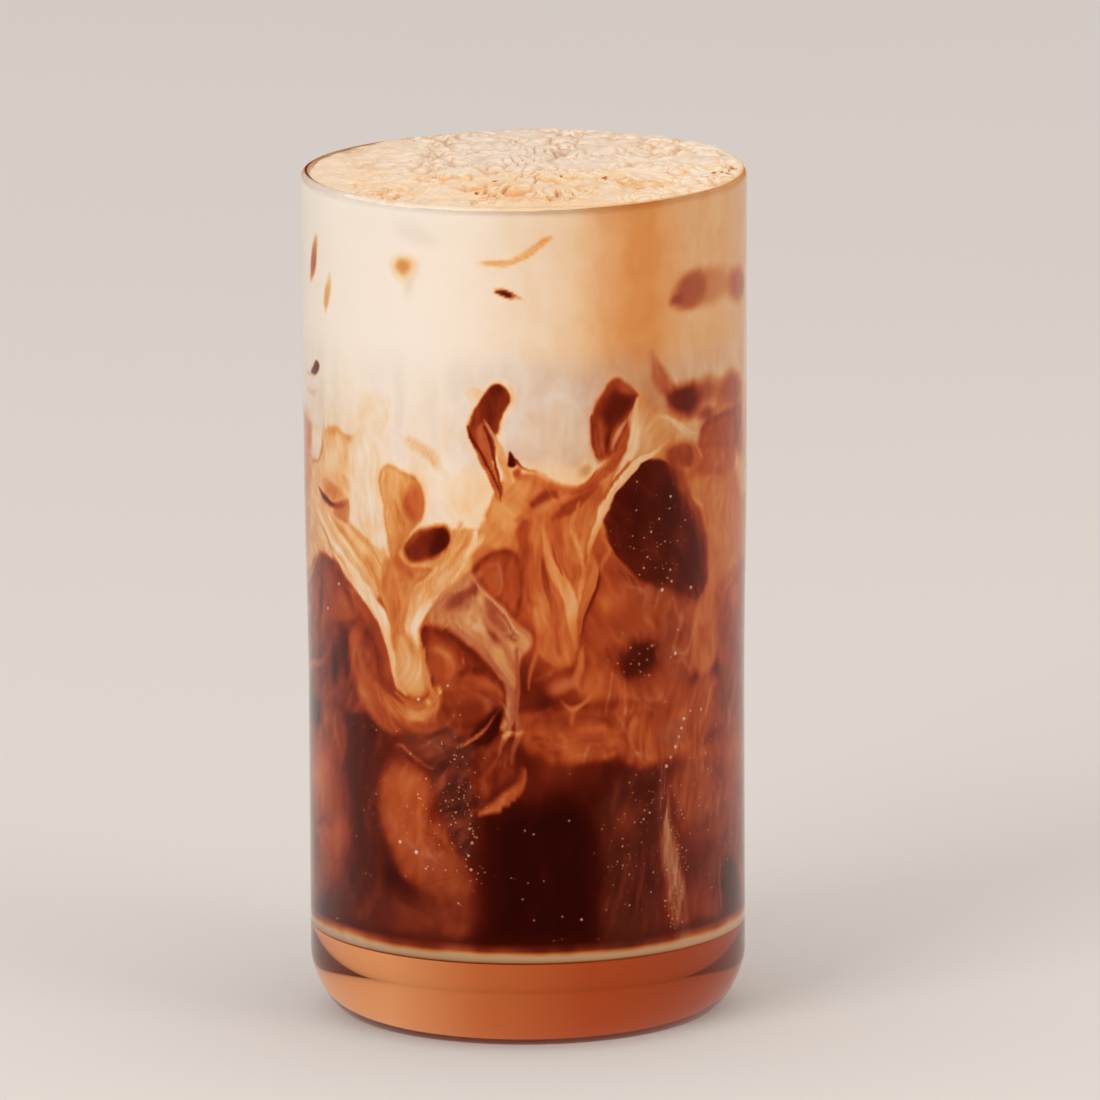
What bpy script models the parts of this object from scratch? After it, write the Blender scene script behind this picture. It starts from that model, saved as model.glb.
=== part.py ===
"""Iced latte: a straight glass with coffee below, milk sinking into it, and cold froth up to the rim.

The origin is the centre of the foot, +Z is up, and the front of the drink faces -Y. A bearing is an
angle round the glass in degrees: 0 is the front, and it grows towards +X. A share is how far out a
point lies, from 0 on the axis to 1 at the wall.
"""

import math

import bmesh
import bpy
from mathutils import Vector, noise

# Driving dimensions of the glass, in metres.

GLASS_HEIGHT = 0.1438
RIM_RADIUS = 0.0375
SHOULDER_RADIUS = 0.0373
WAIST_RADIUS = 0.0368
SHOULDER_HEIGHT = 0.095
WAIST_HEIGHT = 0.055
WALL = 0.0019

FOOT_RADIUS = 0.0303
HEEL_HEIGHT = 0.0104
HEEL_POWER = 1.6
PUNT_RADIUS = 0.0262
PUNT_DEPTH = 0.0012
PUNT_SHOULDER = 0.75
PUNT_SHOULDER_DEPTH = 0.8

FLOOR_HEIGHT = 0.0145
BOWL_CORNER = 0.0040

# Driving dimensions of the drink, in metres. Touching pieces keep the gap between them.

GAP = 0.0003
MILK_LEVEL = 0.0960
FROTH_LEVEL = 0.1192
FROTH_TOP = 0.1437

# Waves of a layer's underside: how many go round the glass, height, and phase in radians.
MILK_WAVES = ((2, 0.0016, 0.7), (5, 0.0010, 0.0))
FROTH_WAVES = ((3, 0.0011, 0.0), (7, 0.0005, 1.0))

# Tongues of milk that hang down the wall into the coffee:
# bearing, spread to its left and to its right in degrees, and length.
TONGUES = (
    (-33.0, 22.0, 12.0, 0.037),
    (14.0, 9.0, 10.0, 0.035),
    (71.0, 12.0, 13.0, 0.041),
    (112.0, 12.0, 10.0, 0.017),
    (149.0, 14.0, 11.0, 0.034),
    (-172.0, 9.0, 13.0, 0.023),
    (-122.0, 15.0, 12.0, 0.037),
)
TONGUE_SHARES = (0.30, 0.95)

FROTH_BUMP = 0.0006
FROTH_BUMP_SPACING = 0.0065
FROTH_MOUND = 0.0007
FROTH_MOUND_BEARING = 125.0
FROTH_MOUND_SHARES = (0.2, 0.8)
FROTH_EDGE_DIP = 0.0006
FROTH_EDGE_SHARES = (0.9, 1.0)

# How finely the forms are split. Rings are given as shares.

STEPS = 88
CORNER_STEPS = 5
LIP_STEPS = 6
HEEL_STEPS = 6
FROTH_RINGS = (0.0, 0.1, 0.2, 0.3, 0.4, 0.5, 0.6, 0.7, 0.79, 0.87, 0.94, 1.0)
LAYER_RINGS = (0.0, 0.25, 0.5, 0.75, 1.0)
TONGUE_RINGS = (0.0, 0.3, 0.5, 0.66, 0.79, 0.9, 1.0)
BOWL_RINGS = (0.0, 0.45, 0.87, 0.92, 0.96, 0.985, 1.0)
SIDE_HEIGHTS = (0.75, 0.5, 0.25)
MERGE_DISTANCE = 0.00001

COLLECTION = "iced_latte"


def smooth_rise(value, low, high):
    """0 below low, 1 above high, and a smooth rise between them."""
    part = min(max((value - low) / (high - low), 0.0), 1.0)
    return part * part * (3.0 - 2.0 * part)


def outer_radius(height):
    """The outside of the glass wall, which narrows a little at its waist."""
    rise = smooth_rise(height, WAIST_HEIGHT, SHOULDER_HEIGHT)
    waist = WAIST_RADIUS + (SHOULDER_RADIUS - WAIST_RADIUS) * rise
    above = max(height - SHOULDER_HEIGHT, 0.0) / (GLASS_HEIGHT - SHOULDER_HEIGHT)
    return waist + (RIM_RADIUS - SHOULDER_RADIUS) * above


def inner_radius(height):
    """The inside of the glass wall."""
    return outer_radius(height) - WALL


def arc(centre, radius, start, end, count):
    """Points on a circle in the plane of the profile, from one angle to the other in degrees."""
    points = []
    for i in range(count + 1):
        angle = math.radians(start + (end - start) * i / count)
        points.append((centre[0] + radius * math.cos(angle), centre[1] + radius * math.sin(angle)))
    return points


def heel():
    """The rounded lower edge, from the wall down to the foot, a little flatter than an ellipse."""
    points = []
    for i in range(1, HEEL_STEPS + 1):
        drop = math.sin(math.radians(90.0 * i / HEEL_STEPS))
        width = (1.0 - drop**HEEL_POWER) ** (1.0 / HEEL_POWER)
        radius = FOOT_RADIUS + (WAIST_RADIUS - FOOT_RADIUS) * width
        points.append((radius, HEEL_HEIGHT * (1.0 - drop)))
    return points


def glass_profile():
    """Half the glass's section, from the middle of its floor over the rim to the middle of its foot."""
    corner = (inner_radius(FLOOR_HEIGHT) - BOWL_CORNER, FLOOR_HEIGHT + BOWL_CORNER)
    middle = (WAIST_HEIGHT + SHOULDER_HEIGHT) / 2
    lip = WALL / 2
    profile = [(0.0, FLOOR_HEIGHT)]
    profile += arc(corner, BOWL_CORNER, -90.0, 0.0, CORNER_STEPS)
    for height in (WAIST_HEIGHT, middle, SHOULDER_HEIGHT):
        profile.append((inner_radius(height), height))
    profile += arc((RIM_RADIUS - lip, GLASS_HEIGHT - lip), lip, 180.0, 0.0, LIP_STEPS)
    for height in (SHOULDER_HEIGHT, middle, WAIST_HEIGHT, HEEL_HEIGHT):
        profile.append((outer_radius(height), height))
    profile += heel()
    profile.append((PUNT_RADIUS, 0.0))
    profile.append((PUNT_SHOULDER * PUNT_RADIUS, PUNT_SHOULDER_DEPTH * PUNT_DEPTH))
    profile.append((0.0, PUNT_DEPTH))
    return profile


def waves(bearing, parts):
    """A wavy line round the glass."""
    angle = math.radians(bearing)
    return sum(size * math.sin(count * angle + phase) for count, size, phase in parts)


def milk_bottom(bearing, share):
    """Height of the milk's underside, with its tongues hanging down against the wall."""
    height = MILK_LEVEL + waves(bearing, MILK_WAVES)
    against_wall = smooth_rise(share, *TONGUE_SHARES)
    for centre, left, right, length in TONGUES:
        off = (bearing - centre + 180.0) % 360.0 - 180.0
        spread = left if off < 0.0 else right
        height -= length * against_wall * math.exp(-((off / spread) ** 2))
    return height


def froth_bottom(bearing, share):
    """Height of the froth's underside, nearly level."""
    return FROTH_LEVEL + share * waves(bearing, FROTH_WAVES)


def froth_top(bearing, share):
    """Height of the froth's lumpy top: flush with the rim, and a little mounded at the back right."""
    angle = math.radians(bearing)
    radius = share * inner_radius(FROTH_TOP)
    place = Vector((radius * math.sin(angle), -radius * math.cos(angle), 0.0)) / FROTH_BUMP_SPACING
    bump = noise.noise(place) + 0.5 * noise.noise(2.0 * place)
    off_mound = math.radians(bearing - FROTH_MOUND_BEARING)
    mound = math.cos(off_mound) * smooth_rise(share, *FROTH_MOUND_SHARES)
    dip = FROTH_EDGE_DIP * smooth_rise(share, *FROTH_EDGE_SHARES)
    return FROTH_TOP + FROTH_BUMP * bump + FROTH_MOUND * mound - dip


def bowl_bottom(bearing, share):
    """Height of the coffee's underside, which follows the floor of the glass and its round corner."""
    liquid_radius = inner_radius(FLOOR_HEIGHT) - GAP
    liquid_corner = BOWL_CORNER - GAP
    into_corner = max(share * liquid_radius - (liquid_radius - liquid_corner), 0.0)
    rise = liquid_corner - math.sqrt(max(liquid_corner**2 - into_corner**2, 0.0))
    return FLOOR_HEIGHT + GAP + rise


def below(surface):
    """The same surface, lower by the gap."""
    return lambda bearing, share: surface(bearing, share) - GAP


def turned(name, profile):
    """An object that a Screw turns from half a section, given as (radius, height) points."""
    mesh = bpy.data.meshes.new(name)
    edges = [(i, i + 1) for i in range(len(profile) - 1)]
    mesh.from_pydata([(radius, 0.0, height) for radius, height in profile], edges, [])
    obj = bpy.data.objects.new(name, mesh)
    bpy.data.collections[COLLECTION].objects.link(obj)
    screw = obj.modifiers.new("Turn", "SCREW")
    screw.axis = "Z"
    screw.angle = math.tau
    screw.steps = STEPS
    screw.render_steps = STEPS
    screw.use_merge_vertices = True
    screw.merge_threshold = MERGE_DISTANCE
    screw.use_smooth_shade = True
    return obj


def made_mesh(obj):
    """A plain mesh object in place of one with modifiers."""
    bpy.context.view_layer.update()
    graph = bpy.context.evaluated_depsgraph_get()
    mesh = bpy.data.meshes.new_from_object(obj.evaluated_get(graph))
    name = obj.name
    bpy.data.objects.remove(obj)
    made = bpy.data.objects.new(name, mesh)
    bpy.data.collections[COLLECTION].objects.link(made)
    return made


def liquid(name, bottom, bottom_rings, top, top_rings):
    """A body of liquid that fills the glass from one surface to another.

    It is turned first as a plain drum, one unit high and one in radius. Each of its points then
    takes its height from the two surfaces, and its radius from the wall at that height. Both sides
    of a boundary between two liquids are split along their shorter diagonals, so they never cross.
    """
    profile = [(share, 1.0) for share in top_rings]
    profile += [(1.0, up) for up in SIDE_HEIGHTS]
    profile += [(share, 0.0) for share in reversed(bottom_rings)]
    obj = made_mesh(turned(name, profile))
    for vertex in obj.data.vertices:
        x, y, up = vertex.co
        share = min(math.hypot(x, y), 1.0)
        angle = math.atan2(x, -y)
        bearing = math.degrees(angle)
        low = bottom(bearing, share)
        height = low + up * (top(bearing, share) - low)
        radius = share * (inner_radius(height) - GAP)
        vertex.co = (radius * math.sin(angle), -radius * math.cos(angle), height)
    form = bmesh.new()
    form.from_mesh(obj.data)
    bmesh.ops.triangulate(form, faces=form.faces[:], quad_method="SHORT_EDGE")
    form.to_mesh(obj.data)
    form.free()
    return obj


def linear(hex_colour):
    """An sRGB colour such as 8A3A1C as linear red, green, blue and alpha."""
    channels = []
    for i in (0, 2, 4):
        value = int(hex_colour[i : i + 2], 16) / 255.0
        channels.append(value / 12.92 if value <= 0.04045 else ((value + 0.055) / 1.055) ** 2.4)
    return (*channels, 1.0)


def finish(obj, name, hex_colour, roughness, transmission=0.0):
    """Gives an object its own material and smooth shading."""
    material = bpy.data.materials.new(name)
    material.use_nodes = True
    shader = material.node_tree.nodes["Principled BSDF"]
    shader.inputs["Base Color"].default_value = linear(hex_colour)
    shader.inputs["Roughness"].default_value = roughness
    shader.inputs["Metallic"].default_value = 0.0
    shader.inputs["Transmission Weight"].default_value = transmission
    obj.data.materials.append(material)
    obj.data.shade_smooth()


def make_glass():
    """The tumbler, with its heavy foot."""
    glass = turned("glass", glass_profile())
    finish(glass, "clear_glass", "F4F4F6", 0.02, transmission=1.0)


def make_drink():
    """The three layers, from the floor of the glass up."""
    coffee = liquid("coffee", bowl_bottom, BOWL_RINGS, below(milk_bottom), TONGUE_RINGS)
    finish(coffee, "black_coffee", "4A170B", 0.3)
    milk = liquid("milk", milk_bottom, TONGUE_RINGS, below(froth_bottom), LAYER_RINGS)
    finish(milk, "milky_coffee", "D9A98A", 0.35)
    froth = liquid("froth", froth_bottom, LAYER_RINGS, froth_top, FROTH_RINGS)
    finish(froth, "cold_froth", "F3DFCB", 0.6)


def build():
    """Clears the scene and models the drink."""
    for obj in list(bpy.data.objects):
        bpy.data.objects.remove(obj)
    drink = bpy.data.collections.new(COLLECTION)
    bpy.context.scene.collection.children.link(drink)
    make_glass()
    make_drink()


build()
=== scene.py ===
"""Iced latte in a straight glass: dark coffee and ice below, milk that sinks into it, and cold froth.

Sizes are in metres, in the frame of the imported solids: +Z up, the front at -Y. The drink's colours are
worked out in millimetres on the wall of the glass, laid out flat: across is the way round from the
front, growing to the right, and up is the height above the table.
"""

import math

import bmesh
import bpy
import numpy as np
from mathutils import Euler, Matrix, Vector, noise


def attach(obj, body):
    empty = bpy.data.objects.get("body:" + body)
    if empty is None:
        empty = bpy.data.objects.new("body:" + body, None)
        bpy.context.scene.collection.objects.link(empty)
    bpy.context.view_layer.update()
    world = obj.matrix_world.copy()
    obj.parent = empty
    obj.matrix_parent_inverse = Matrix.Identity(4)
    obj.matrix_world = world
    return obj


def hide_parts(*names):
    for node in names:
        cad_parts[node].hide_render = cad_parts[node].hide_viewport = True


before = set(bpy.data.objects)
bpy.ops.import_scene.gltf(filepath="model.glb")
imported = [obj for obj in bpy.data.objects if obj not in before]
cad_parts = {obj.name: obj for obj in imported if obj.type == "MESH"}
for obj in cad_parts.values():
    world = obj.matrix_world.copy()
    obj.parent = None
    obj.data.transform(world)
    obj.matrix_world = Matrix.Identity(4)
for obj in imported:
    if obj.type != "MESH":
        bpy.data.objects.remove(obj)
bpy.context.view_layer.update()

MM = 0.001

# The glass, as in the solids.

GLASS_HEIGHT = 0.1438
RIM_RADIUS = 0.0375
SHOULDER_RADIUS = 0.0373
WAIST_RADIUS = 0.0368
SHOULDER_HEIGHT = 0.095
WAIST_HEIGHT = 0.055
WALL = 0.0019
FOOT_RADIUS = 0.0303
HEEL_HEIGHT = 0.0104
HEEL_POWER = 1.6
PUNT_RADIUS = 0.0262
PUNT_DEPTH = 0.0012
PUNT_EDGE = 0.45
FLOOR_HEIGHT = 0.0145
BOWL_CORNER = 0.0040

# The drink, as in the solids.

MILK_LEVEL = 0.0960
FROTH_LEVEL = 0.1192
FROTH_TOP = 0.1437
MILK_WAVES = ((2, 0.0016, 0.7), (5, 0.0010, 0.0))
FROTH_WAVES = ((3, 0.0011, 0.0), (7, 0.0005, 1.0))
TONGUES = (
    (-33.0, 22.0, 12.0, 0.037),
    (14.0, 9.0, 10.0, 0.035),
    (71.0, 12.0, 13.0, 0.041),
    (112.0, 12.0, 10.0, 0.017),
    (149.0, 14.0, 11.0, 0.034),
    (-172.0, 9.0, 13.0, 0.023),
    (-122.0, 15.0, 12.0, 0.037),
)
TONGUE_SHARES = (0.30, 0.95)
FROTH_BUMP = 0.0006
FROTH_BUMP_SPACING = 0.0065
FROTH_MOUND = 0.0007
FROTH_MOUND_BEARING = 125.0
FROTH_MOUND_SHARES = (0.2, 0.8)

# The drink reaches this far into the wall, so that no air shows between them.
REACH = 0.00015

# The froth clings to the lip: it spreads this far into the rounded edge between these heights.
LIP_CLING = 0.0012
LIP_CLING_HEIGHTS = (0.1424, 0.1436)
FROTH_EDGE_DROP = 0.00025
FROTH_EDGE_DROP_SHARES = (0.978, 1.0)

# How finely the pieces are split: columns on the front and behind, and rows up each layer's side. The side
# that the photo shows has the finer columns. Rows of points are shifted by half a column in turn, which
# keeps slanting threads of milk smooth, so every count of rows is even.
FRONT_HALF = 57.0
FRONT_COLUMNS = 470
BACK_COLUMNS = 172
COLUMNS = FRONT_COLUMNS + BACK_COLUMNS
COFFEE_ROWS = 132
MILK_ROWS = 132
FROTH_ROWS = 52
FROTH_RINGS = 90
GLASS_STEPS = 256

# How finely the glass's section is split: its hollow, heel, outside, lip, inside, corner and floor.
PUNT_STEPS = 10
HEEL_STEPS = 18
OUTSIDE_STEPS = 34
LIP_STEPS = 14
INSIDE_STEPS = 32
CORNER_STEPS = 12
FLOOR_SHARES = (0.85, 0.6, 0.35, 0.1)

# How far apart the rows lie at each height, in millimetres. The deep coffee has the fewest.
ROW_HEIGHTS = (10.0, 42.0, 50.0, 112.0, 122.0, 150.0)
ROW_SPACINGS = (0.80, 0.80, 0.42, 0.42, 0.60, 0.60)

# The wrinkles in the froth's top: their depth, how far apart they lie, and how much longer than wide.
WRINKLE_DEPTH = 0.00095
WRINKLE_SPACINGS = ((3.4, 0.22, 1.0), (1.9, 0.22, 0.7))
WRINKLE_STRETCH = 1.4

# Colours of the drink, as sRGB hex values. Each scale runs from no milk to all milk.

CLEAR_SCALE = (
    (0.00, "2E0502"), (0.08, "420B04"), (0.16, "5E180A"), (0.24, "842B13"), (0.32, "A13E1D"),
    (0.40, "BC5328"), (0.48, "CF6D36"), (0.56, "DA8644"), (0.64, "E6A05A"), (0.72, "EFB87C"),
    (0.80, "F6D09E"), (0.88, "F9E3C6"), (0.94, "FCF0E3"), (1.00, "FAF3EC"),
)
HAZE_SCALE = ((0.00, "4A1E14"), (0.35, "86503E"), (0.65, "BF9580"), (0.85, "DCC8BC"), (1.00, "E9DDD6"))
GLOW_SCALE = ((0.00, "5E1407"), (0.25, "8E3016"), (0.45, "C25628"), (0.65, "E08646"), (1.00, "F2B07C"))

# The wall laid out flat: the radius that gives the way round in millimetres, and half that way round.
FLAT_RADIUS = 35.2
HALF_ROUND = math.pi * FLAT_RADIUS


def linear(hex_colour):
    """An sRGB colour such as 8A3A1C as linear red, green, blue and alpha."""
    channels = []
    for i in (0, 2, 4):
        value = int(hex_colour[i : i + 2], 16) / 255.0
        channels.append(value / 12.92 if value <= 0.04045 else ((value + 0.055) / 1.055) ** 2.4)
    return (*channels, 1.0)


def smooth_rise(value, low, high):
    """0 below low, 1 above high, and a smooth rise between them."""
    part = np.clip((value - low) / (high - low), 0.0, 1.0)
    return part * part * (3.0 - 2.0 * part)


class Noise:
    """Smooth noise in space, about -1 to 1, the same on every run."""

    def __init__(self, seed):
        draw = np.random.default_rng(seed)
        self.order = np.tile(draw.permutation(256), 3)
        slopes = draw.normal(size=(256, 3))
        self.slopes = slopes / np.linalg.norm(slopes, axis=1, keepdims=True)

    def __call__(self, x, y, z):
        cell = [np.floor(v).astype(np.int64) for v in (x, y, z)]
        part = [v - c for v, c in zip((x, y, z), cell)]
        fade = [p * p * p * (p * (p * 6.0 - 15.0) + 10.0) for p in part]
        cell = [c & 255 for c in cell]
        total = 0.0
        for i in (0, 1):
            for j in (0, 1):
                for k in (0, 1):
                    key = self.order[self.order[self.order[cell[0] + i] + cell[1] + j] + cell[2] + k]
                    slope = self.slopes[key]
                    ramp = slope[..., 0] * (part[0] - i)
                    ramp += slope[..., 1] * (part[1] - j)
                    ramp += slope[..., 2] * (part[2] - k)
                    weight = fade[0] if i else 1.0 - fade[0]
                    weight = weight * (fade[1] if j else 1.0 - fade[1])
                    weight = weight * (fade[2] if k else 1.0 - fade[2])
                    total = total + ramp * weight
        return 1.6 * total


def round_noise(source, across, up, spacing, stretch=1.0):
    """Noise on the wall that meets itself behind. stretch draws it out upwards."""
    angle = across / FLAT_RADIUS
    x = FLAT_RADIUS * np.sin(angle) / spacing
    y = -FLAT_RADIUS * np.cos(angle) / spacing
    return source(x + 50.0, y + 50.0, up / (spacing * stretch) + 50.0)


def curve_through(points, closed=False, steps=7):
    """Points on a smooth curve through given ones. Every column is smoothed alike."""
    points = np.array(points, dtype=float)
    if closed:
        padded = np.vstack([points[-1:], points, points[:2]])
    else:
        padded = np.vstack([2.0 * points[0] - points[1], points, 2.0 * points[-1] - points[-2]])
    step = np.linspace(0.0, 1.0, steps, endpoint=False)[:, None]
    spans = []
    for a, b, c, d in zip(padded, padded[1:], padded[2:], padded[3:]):
        bend = (2.0 * a - 5.0 * b + 4.0 * c - d) * step**2 + (3.0 * b - a - 3.0 * c + d) * step**3
        spans.append(b + 0.5 * ((c - a) * step + bend))
    if not closed:
        spans.append(points[-1:])
    return np.vstack(spans)


class WallPainting:
    """The drink's look on the wall laid out flat, built up from the back stroke by stroke.

    Each place has a share of milk, of grey haze and of red glow. Lengths are in millimetres.
    """

    def __init__(self, across, up):
        self.across = across
        self.up = up
        self.shares = np.zeros((len(across), 3))
        self.silk = Noise(11)

    def nearby(self, curve, margin):
        """The places in the box round a curve."""
        low = curve[:, :2].min(axis=0) - margin
        high = curve[:, :2].max(axis=0) + margin
        inside = (self.across > low[0]) & (self.across < high[0]) & (self.up > low[1]) & (self.up < high[1])
        return np.nonzero(inside)[0]

    def along(self, curve, picked):
        """Distance from a curve, positive on the left of its way, how far along, and its other columns."""
        x, y = self.across[picked], self.up[picked]
        nearest = np.full(len(picked), 1e9)
        side = np.zeros(len(picked))
        run = np.zeros(len(picked))
        others = np.zeros((len(picked), curve.shape[1] - 2))
        passed = 0.0
        for start, end in zip(curve, curve[1:]):
            step = end[:2] - start[:2]
            length = max(float(np.hypot(*step)), 1e-6)
            part = ((x - start[0]) * step[0] + (y - start[1]) * step[1]) / length**2
            part = np.clip(part, 0.0, 1.0)
            off_x = x - start[0] - part * step[0]
            off_y = y - start[1] - part * step[1]
            distance = np.hypot(off_x, off_y)
            closer = distance < nearest
            nearest = np.where(closer, distance, nearest)
            side = np.where(closer, np.sign(step[0] * off_y - step[1] * off_x), side)
            run = np.where(closer, passed + part * length, run)
            mixed = start[2:] + part[:, None] * (end[2:] - start[2:])
            others = np.where(closer[:, None], mixed, others)
            passed += length
        return nearest * side, run, others

    def lay(self, picked, cover, milk, haze, glow):
        """Covers the picked places with new shares."""
        new = np.empty((len(picked), 3))
        old = self.shares[picked]
        new[:, 0] = milk
        new[:, 1] = old[:, 1] if haze is None else haze
        new[:, 2] = old[:, 2] if glow is None else glow
        self.shares[picked] = old + (new - old) * cover[:, None]

    def ribbon(self, points, soft=0.3, haze=0.0, glow=0.0, lean=0.0, silk=0.05, cover=1.0):
        """A strand along a curve of (across, up, half width, milk).

        soft is how soft its edges are: one value, or one for the left edge and one for the right.
        lean makes the left side milkier than the right, and silk is how strongly fine threads show.
        """
        curve = curve_through(points)
        soft_left, soft_right = np.broadcast_to(soft, 2)
        picked = self.nearby(curve, curve[:, 2].max() + max(soft_left, soft_right))
        if not len(picked):
            return
        side, run, others = self.along(curve, picked)
        half, milk = np.maximum(others[:, 0], 0.01), others[:, 1]
        edge = np.where(side > 0.0, soft_left, soft_right)
        inside = smooth_rise(half - np.abs(side), -0.5 * edge, 0.5 * edge)
        across_it = side / half
        threads = self.silk(2.2 * across_it + 0.6 * run, 0.05 * run + 9.0, 0.31 * half[0] + 5.0)
        threads = threads + 0.7 * self.silk(5.0 * across_it, 0.18 * run, 17.0 + half[0])
        milk = milk + lean * across_it + silk * threads
        self.lay(picked, cover * inside, milk, haze, glow)

    def shape(self, outline, milk, soft=0.4, depth=2.0, haze=0.0, glow=0.0, slope=(0.0, 0.0), silk=0.04,
              flow=80.0, cover=1.0, rim=None):
        """A patch with a smooth outline. milk is its share at the edge and at that depth inside.

        slope adds milk for each millimetre to the right and up, flow is the direction of its fine
        threads in degrees from the horizontal, and rim is (milk, width, cover) of a line round it.
        """
        curve = curve_through(outline, closed=True)
        picked = self.nearby(curve, soft + 1.0)
        if not len(picked):
            return
        x, y = self.across[picked], self.up[picked]
        inside = np.zeros(len(picked), dtype=bool)
        nearest = np.full(len(picked), 1e9)
        for start, end in zip(curve, np.roll(curve, -1, axis=0)):
            step = end - start
            part = ((x - start[0]) * step[0] + (y - start[1]) * step[1]) / max(float(step @ step), 1e-9)
            part = np.clip(part, 0.0, 1.0)
            nearest = np.minimum(nearest,
                                 np.hypot(x - start[0] - part * step[0], y - start[1] - part * step[1]))
            crosses = (start[1] > y) != (end[1] > y)
            if end[1] != start[1]:
                meets = start[0] + (y - start[1]) * step[0] / (end[1] - start[1])
                inside ^= crosses & (x < meets)
        deep = np.where(inside, nearest, -nearest)
        centre = curve.mean(axis=0)
        edge_milk, core_milk = milk
        value = edge_milk + (core_milk - edge_milk) * smooth_rise(deep, 0.0, depth)
        value = value + slope[0] * (x - centre[0]) + slope[1] * (y - centre[1])
        turn = math.radians(flow)
        bend = 1.6 * self.silk(x / 7.0, y / 7.0, centre[1] + 3.0 + 0.0 * x)
        with_flow = (x * math.cos(turn) + y * math.sin(turn)) / 7.0
        over_flow = (y * math.cos(turn) - x * math.sin(turn) + bend) / 1.1
        threads = self.silk(over_flow + with_flow, with_flow, centre[0] + 7.0 + 0.0 * x)
        threads = threads + 0.6 * self.silk(2.3 * over_flow, 1.7 * with_flow, centre[0] + 19.0 + 0.0 * x)
        value = value + silk * threads
        self.lay(picked, cover * smooth_rise(deep, -0.5 * soft, 0.5 * soft), value, haze, glow)
        if rim:
            rim_milk, width, rim_cover = rim
            line = np.exp(-((deep / width) ** 2))
            self.lay(picked, rim_cover * line, np.full(len(picked), rim_milk), haze, glow)

    def spot(self, centre, radii, milk, tilt=0.0, soft=0.5, haze=0.0, glow=0.0, cover=1.0):
        """An oval patch. soft is the share of it that is edge, and milk None keeps what is there."""
        reach = max(radii) * (1.0 + soft)
        picked = self.nearby(np.array([centre], dtype=float), reach)
        if not len(picked):
            return
        turn = math.radians(tilt)
        x, y = self.across[picked] - centre[0], self.up[picked] - centre[1]
        u = (x * math.cos(turn) + y * math.sin(turn)) / radii[0]
        v = (y * math.cos(turn) - x * math.sin(turn)) / radii[1]
        inside = 1.0 - smooth_rise(np.hypot(u, v), 1.0 - soft, 1.0 + soft)
        value = self.shares[picked, 0] if milk is None else np.full(len(picked), milk)
        self.lay(picked, cover * inside, value, haze, glow)


# The lower edge of the milk on the front, as (across, up), before its tongues and swirls.
MILK_EDGE = (
    (-56, 104), (-47, 102), (-41, 102), (-36, 103), (-30, 101), (-26.5, 96), (-24, 89), (-20, 88),
    (-14, 88.5), (-9, 88), (-6, 91), (-4, 96), (0, 99), (4, 97.5), (8, 96.2), (12, 97.5), (17, 100.5),
    (23, 102.5), (29, 104), (34, 106), (40, 108), (46, 109), (56, 108),
)

# How milky the coffee is at depths below that edge, in millimetres.
COFFEE_DEPTHS = (0.0, 4.0, 14.0, 26.0, 40.0, 55.0)
COFFEE_MILK = (0.66, 0.54, 0.44, 0.34, 0.20, 0.13)

# How milky the froth's side is, from the left edge of the front to its right edge. The lower shares on the
# right, lowest from 18 to 22, are painted shade and a painted reflection: the shaded right side and a warm
# band reflected in the glass.
FROTH_PLACES = (-56, -20, -8, 0, 8, 14, 18, 22, 26, 30, 44, 56)
FROTH_MILK_AND_SHADE = (0.94, 0.95, 0.92, 0.875, 0.82, 0.70, 0.635, 0.635, 0.71, 0.75, 0.75, 0.70)
FROTH_HAZE = (0.0, 0.02, 0.14, 0.28, 0.26, 0.14, 0.04, 0.0, 0.04, 0.1, 0.08, 0.0)

# How milky and how grey the milk under the froth is, in the same way.
MILK_PLACES = (-56, -40, -14, -4, 10, 20, 34, 56)
MILK_SHARES = (0.90, 0.90, 0.91, 0.84, 0.82, 0.79, 0.75, 0.75)
MILK_HAZE = (0.20, 0.16, 0.16, 0.50, 0.50, 0.42, 0.20, 0.10)


def paint_layers(wall):
    """Pale froth, then milk, then coffee that is darker the deeper it lies."""
    across, up = wall.across, wall.up
    cloud = round_noise(wall.silk, across, up, 9.0, 1.3)
    fine = round_noise(wall.silk, across, up, 2.6, 2.0)
    streak = round_noise(wall.silk, across, up + 60.0, 2.4, 7.0)
    edge = curve_through(MILK_EDGE)
    depth = np.interp(across, edge[:, 0], edge[:, 1]) + 0.6 * fine - up
    coffee = np.interp(depth, COFFEE_DEPTHS, COFFEE_MILK) + 0.07 * cloud + 0.03 * fine
    above = smooth_rise(-depth, -0.5, 0.9)
    milky = np.interp(across, MILK_PLACES, MILK_SHARES) + 0.02 * cloud - 0.02 * np.abs(streak)
    wall.shares[:, 0] = coffee + (milky - coffee) * above
    in_milk = smooth_rise(up, 97.0, 102.0) * (1.0 - smooth_rise(up, 113.0, 121.0))
    grey = np.interp(across, MILK_PLACES, MILK_HAZE) + 0.12 * cloud + 0.3 * np.maximum(streak, 0.0)
    wall.shares[:, 1] = above * in_milk * np.clip(grey, 0.0, 1.0)
    wall.shares[:, 2] = (1.0 - above) * np.clip(0.25 + 0.3 * cloud, 0.0, 1.0)
    froth = smooth_rise(up + 0.2 * np.clip(across, 0.0, 40.0), 100.0, 119.0) * above
    # The froth's side, with its painted shade and painted reflection on the right.
    wall.shares[:, 0] += (np.interp(across, FROTH_PLACES, FROTH_MILK_AND_SHADE) - wall.shares[:, 0]) * froth
    wall.shares[:, 1] += np.interp(across, FROTH_PLACES, FROTH_HAZE) * froth


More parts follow.
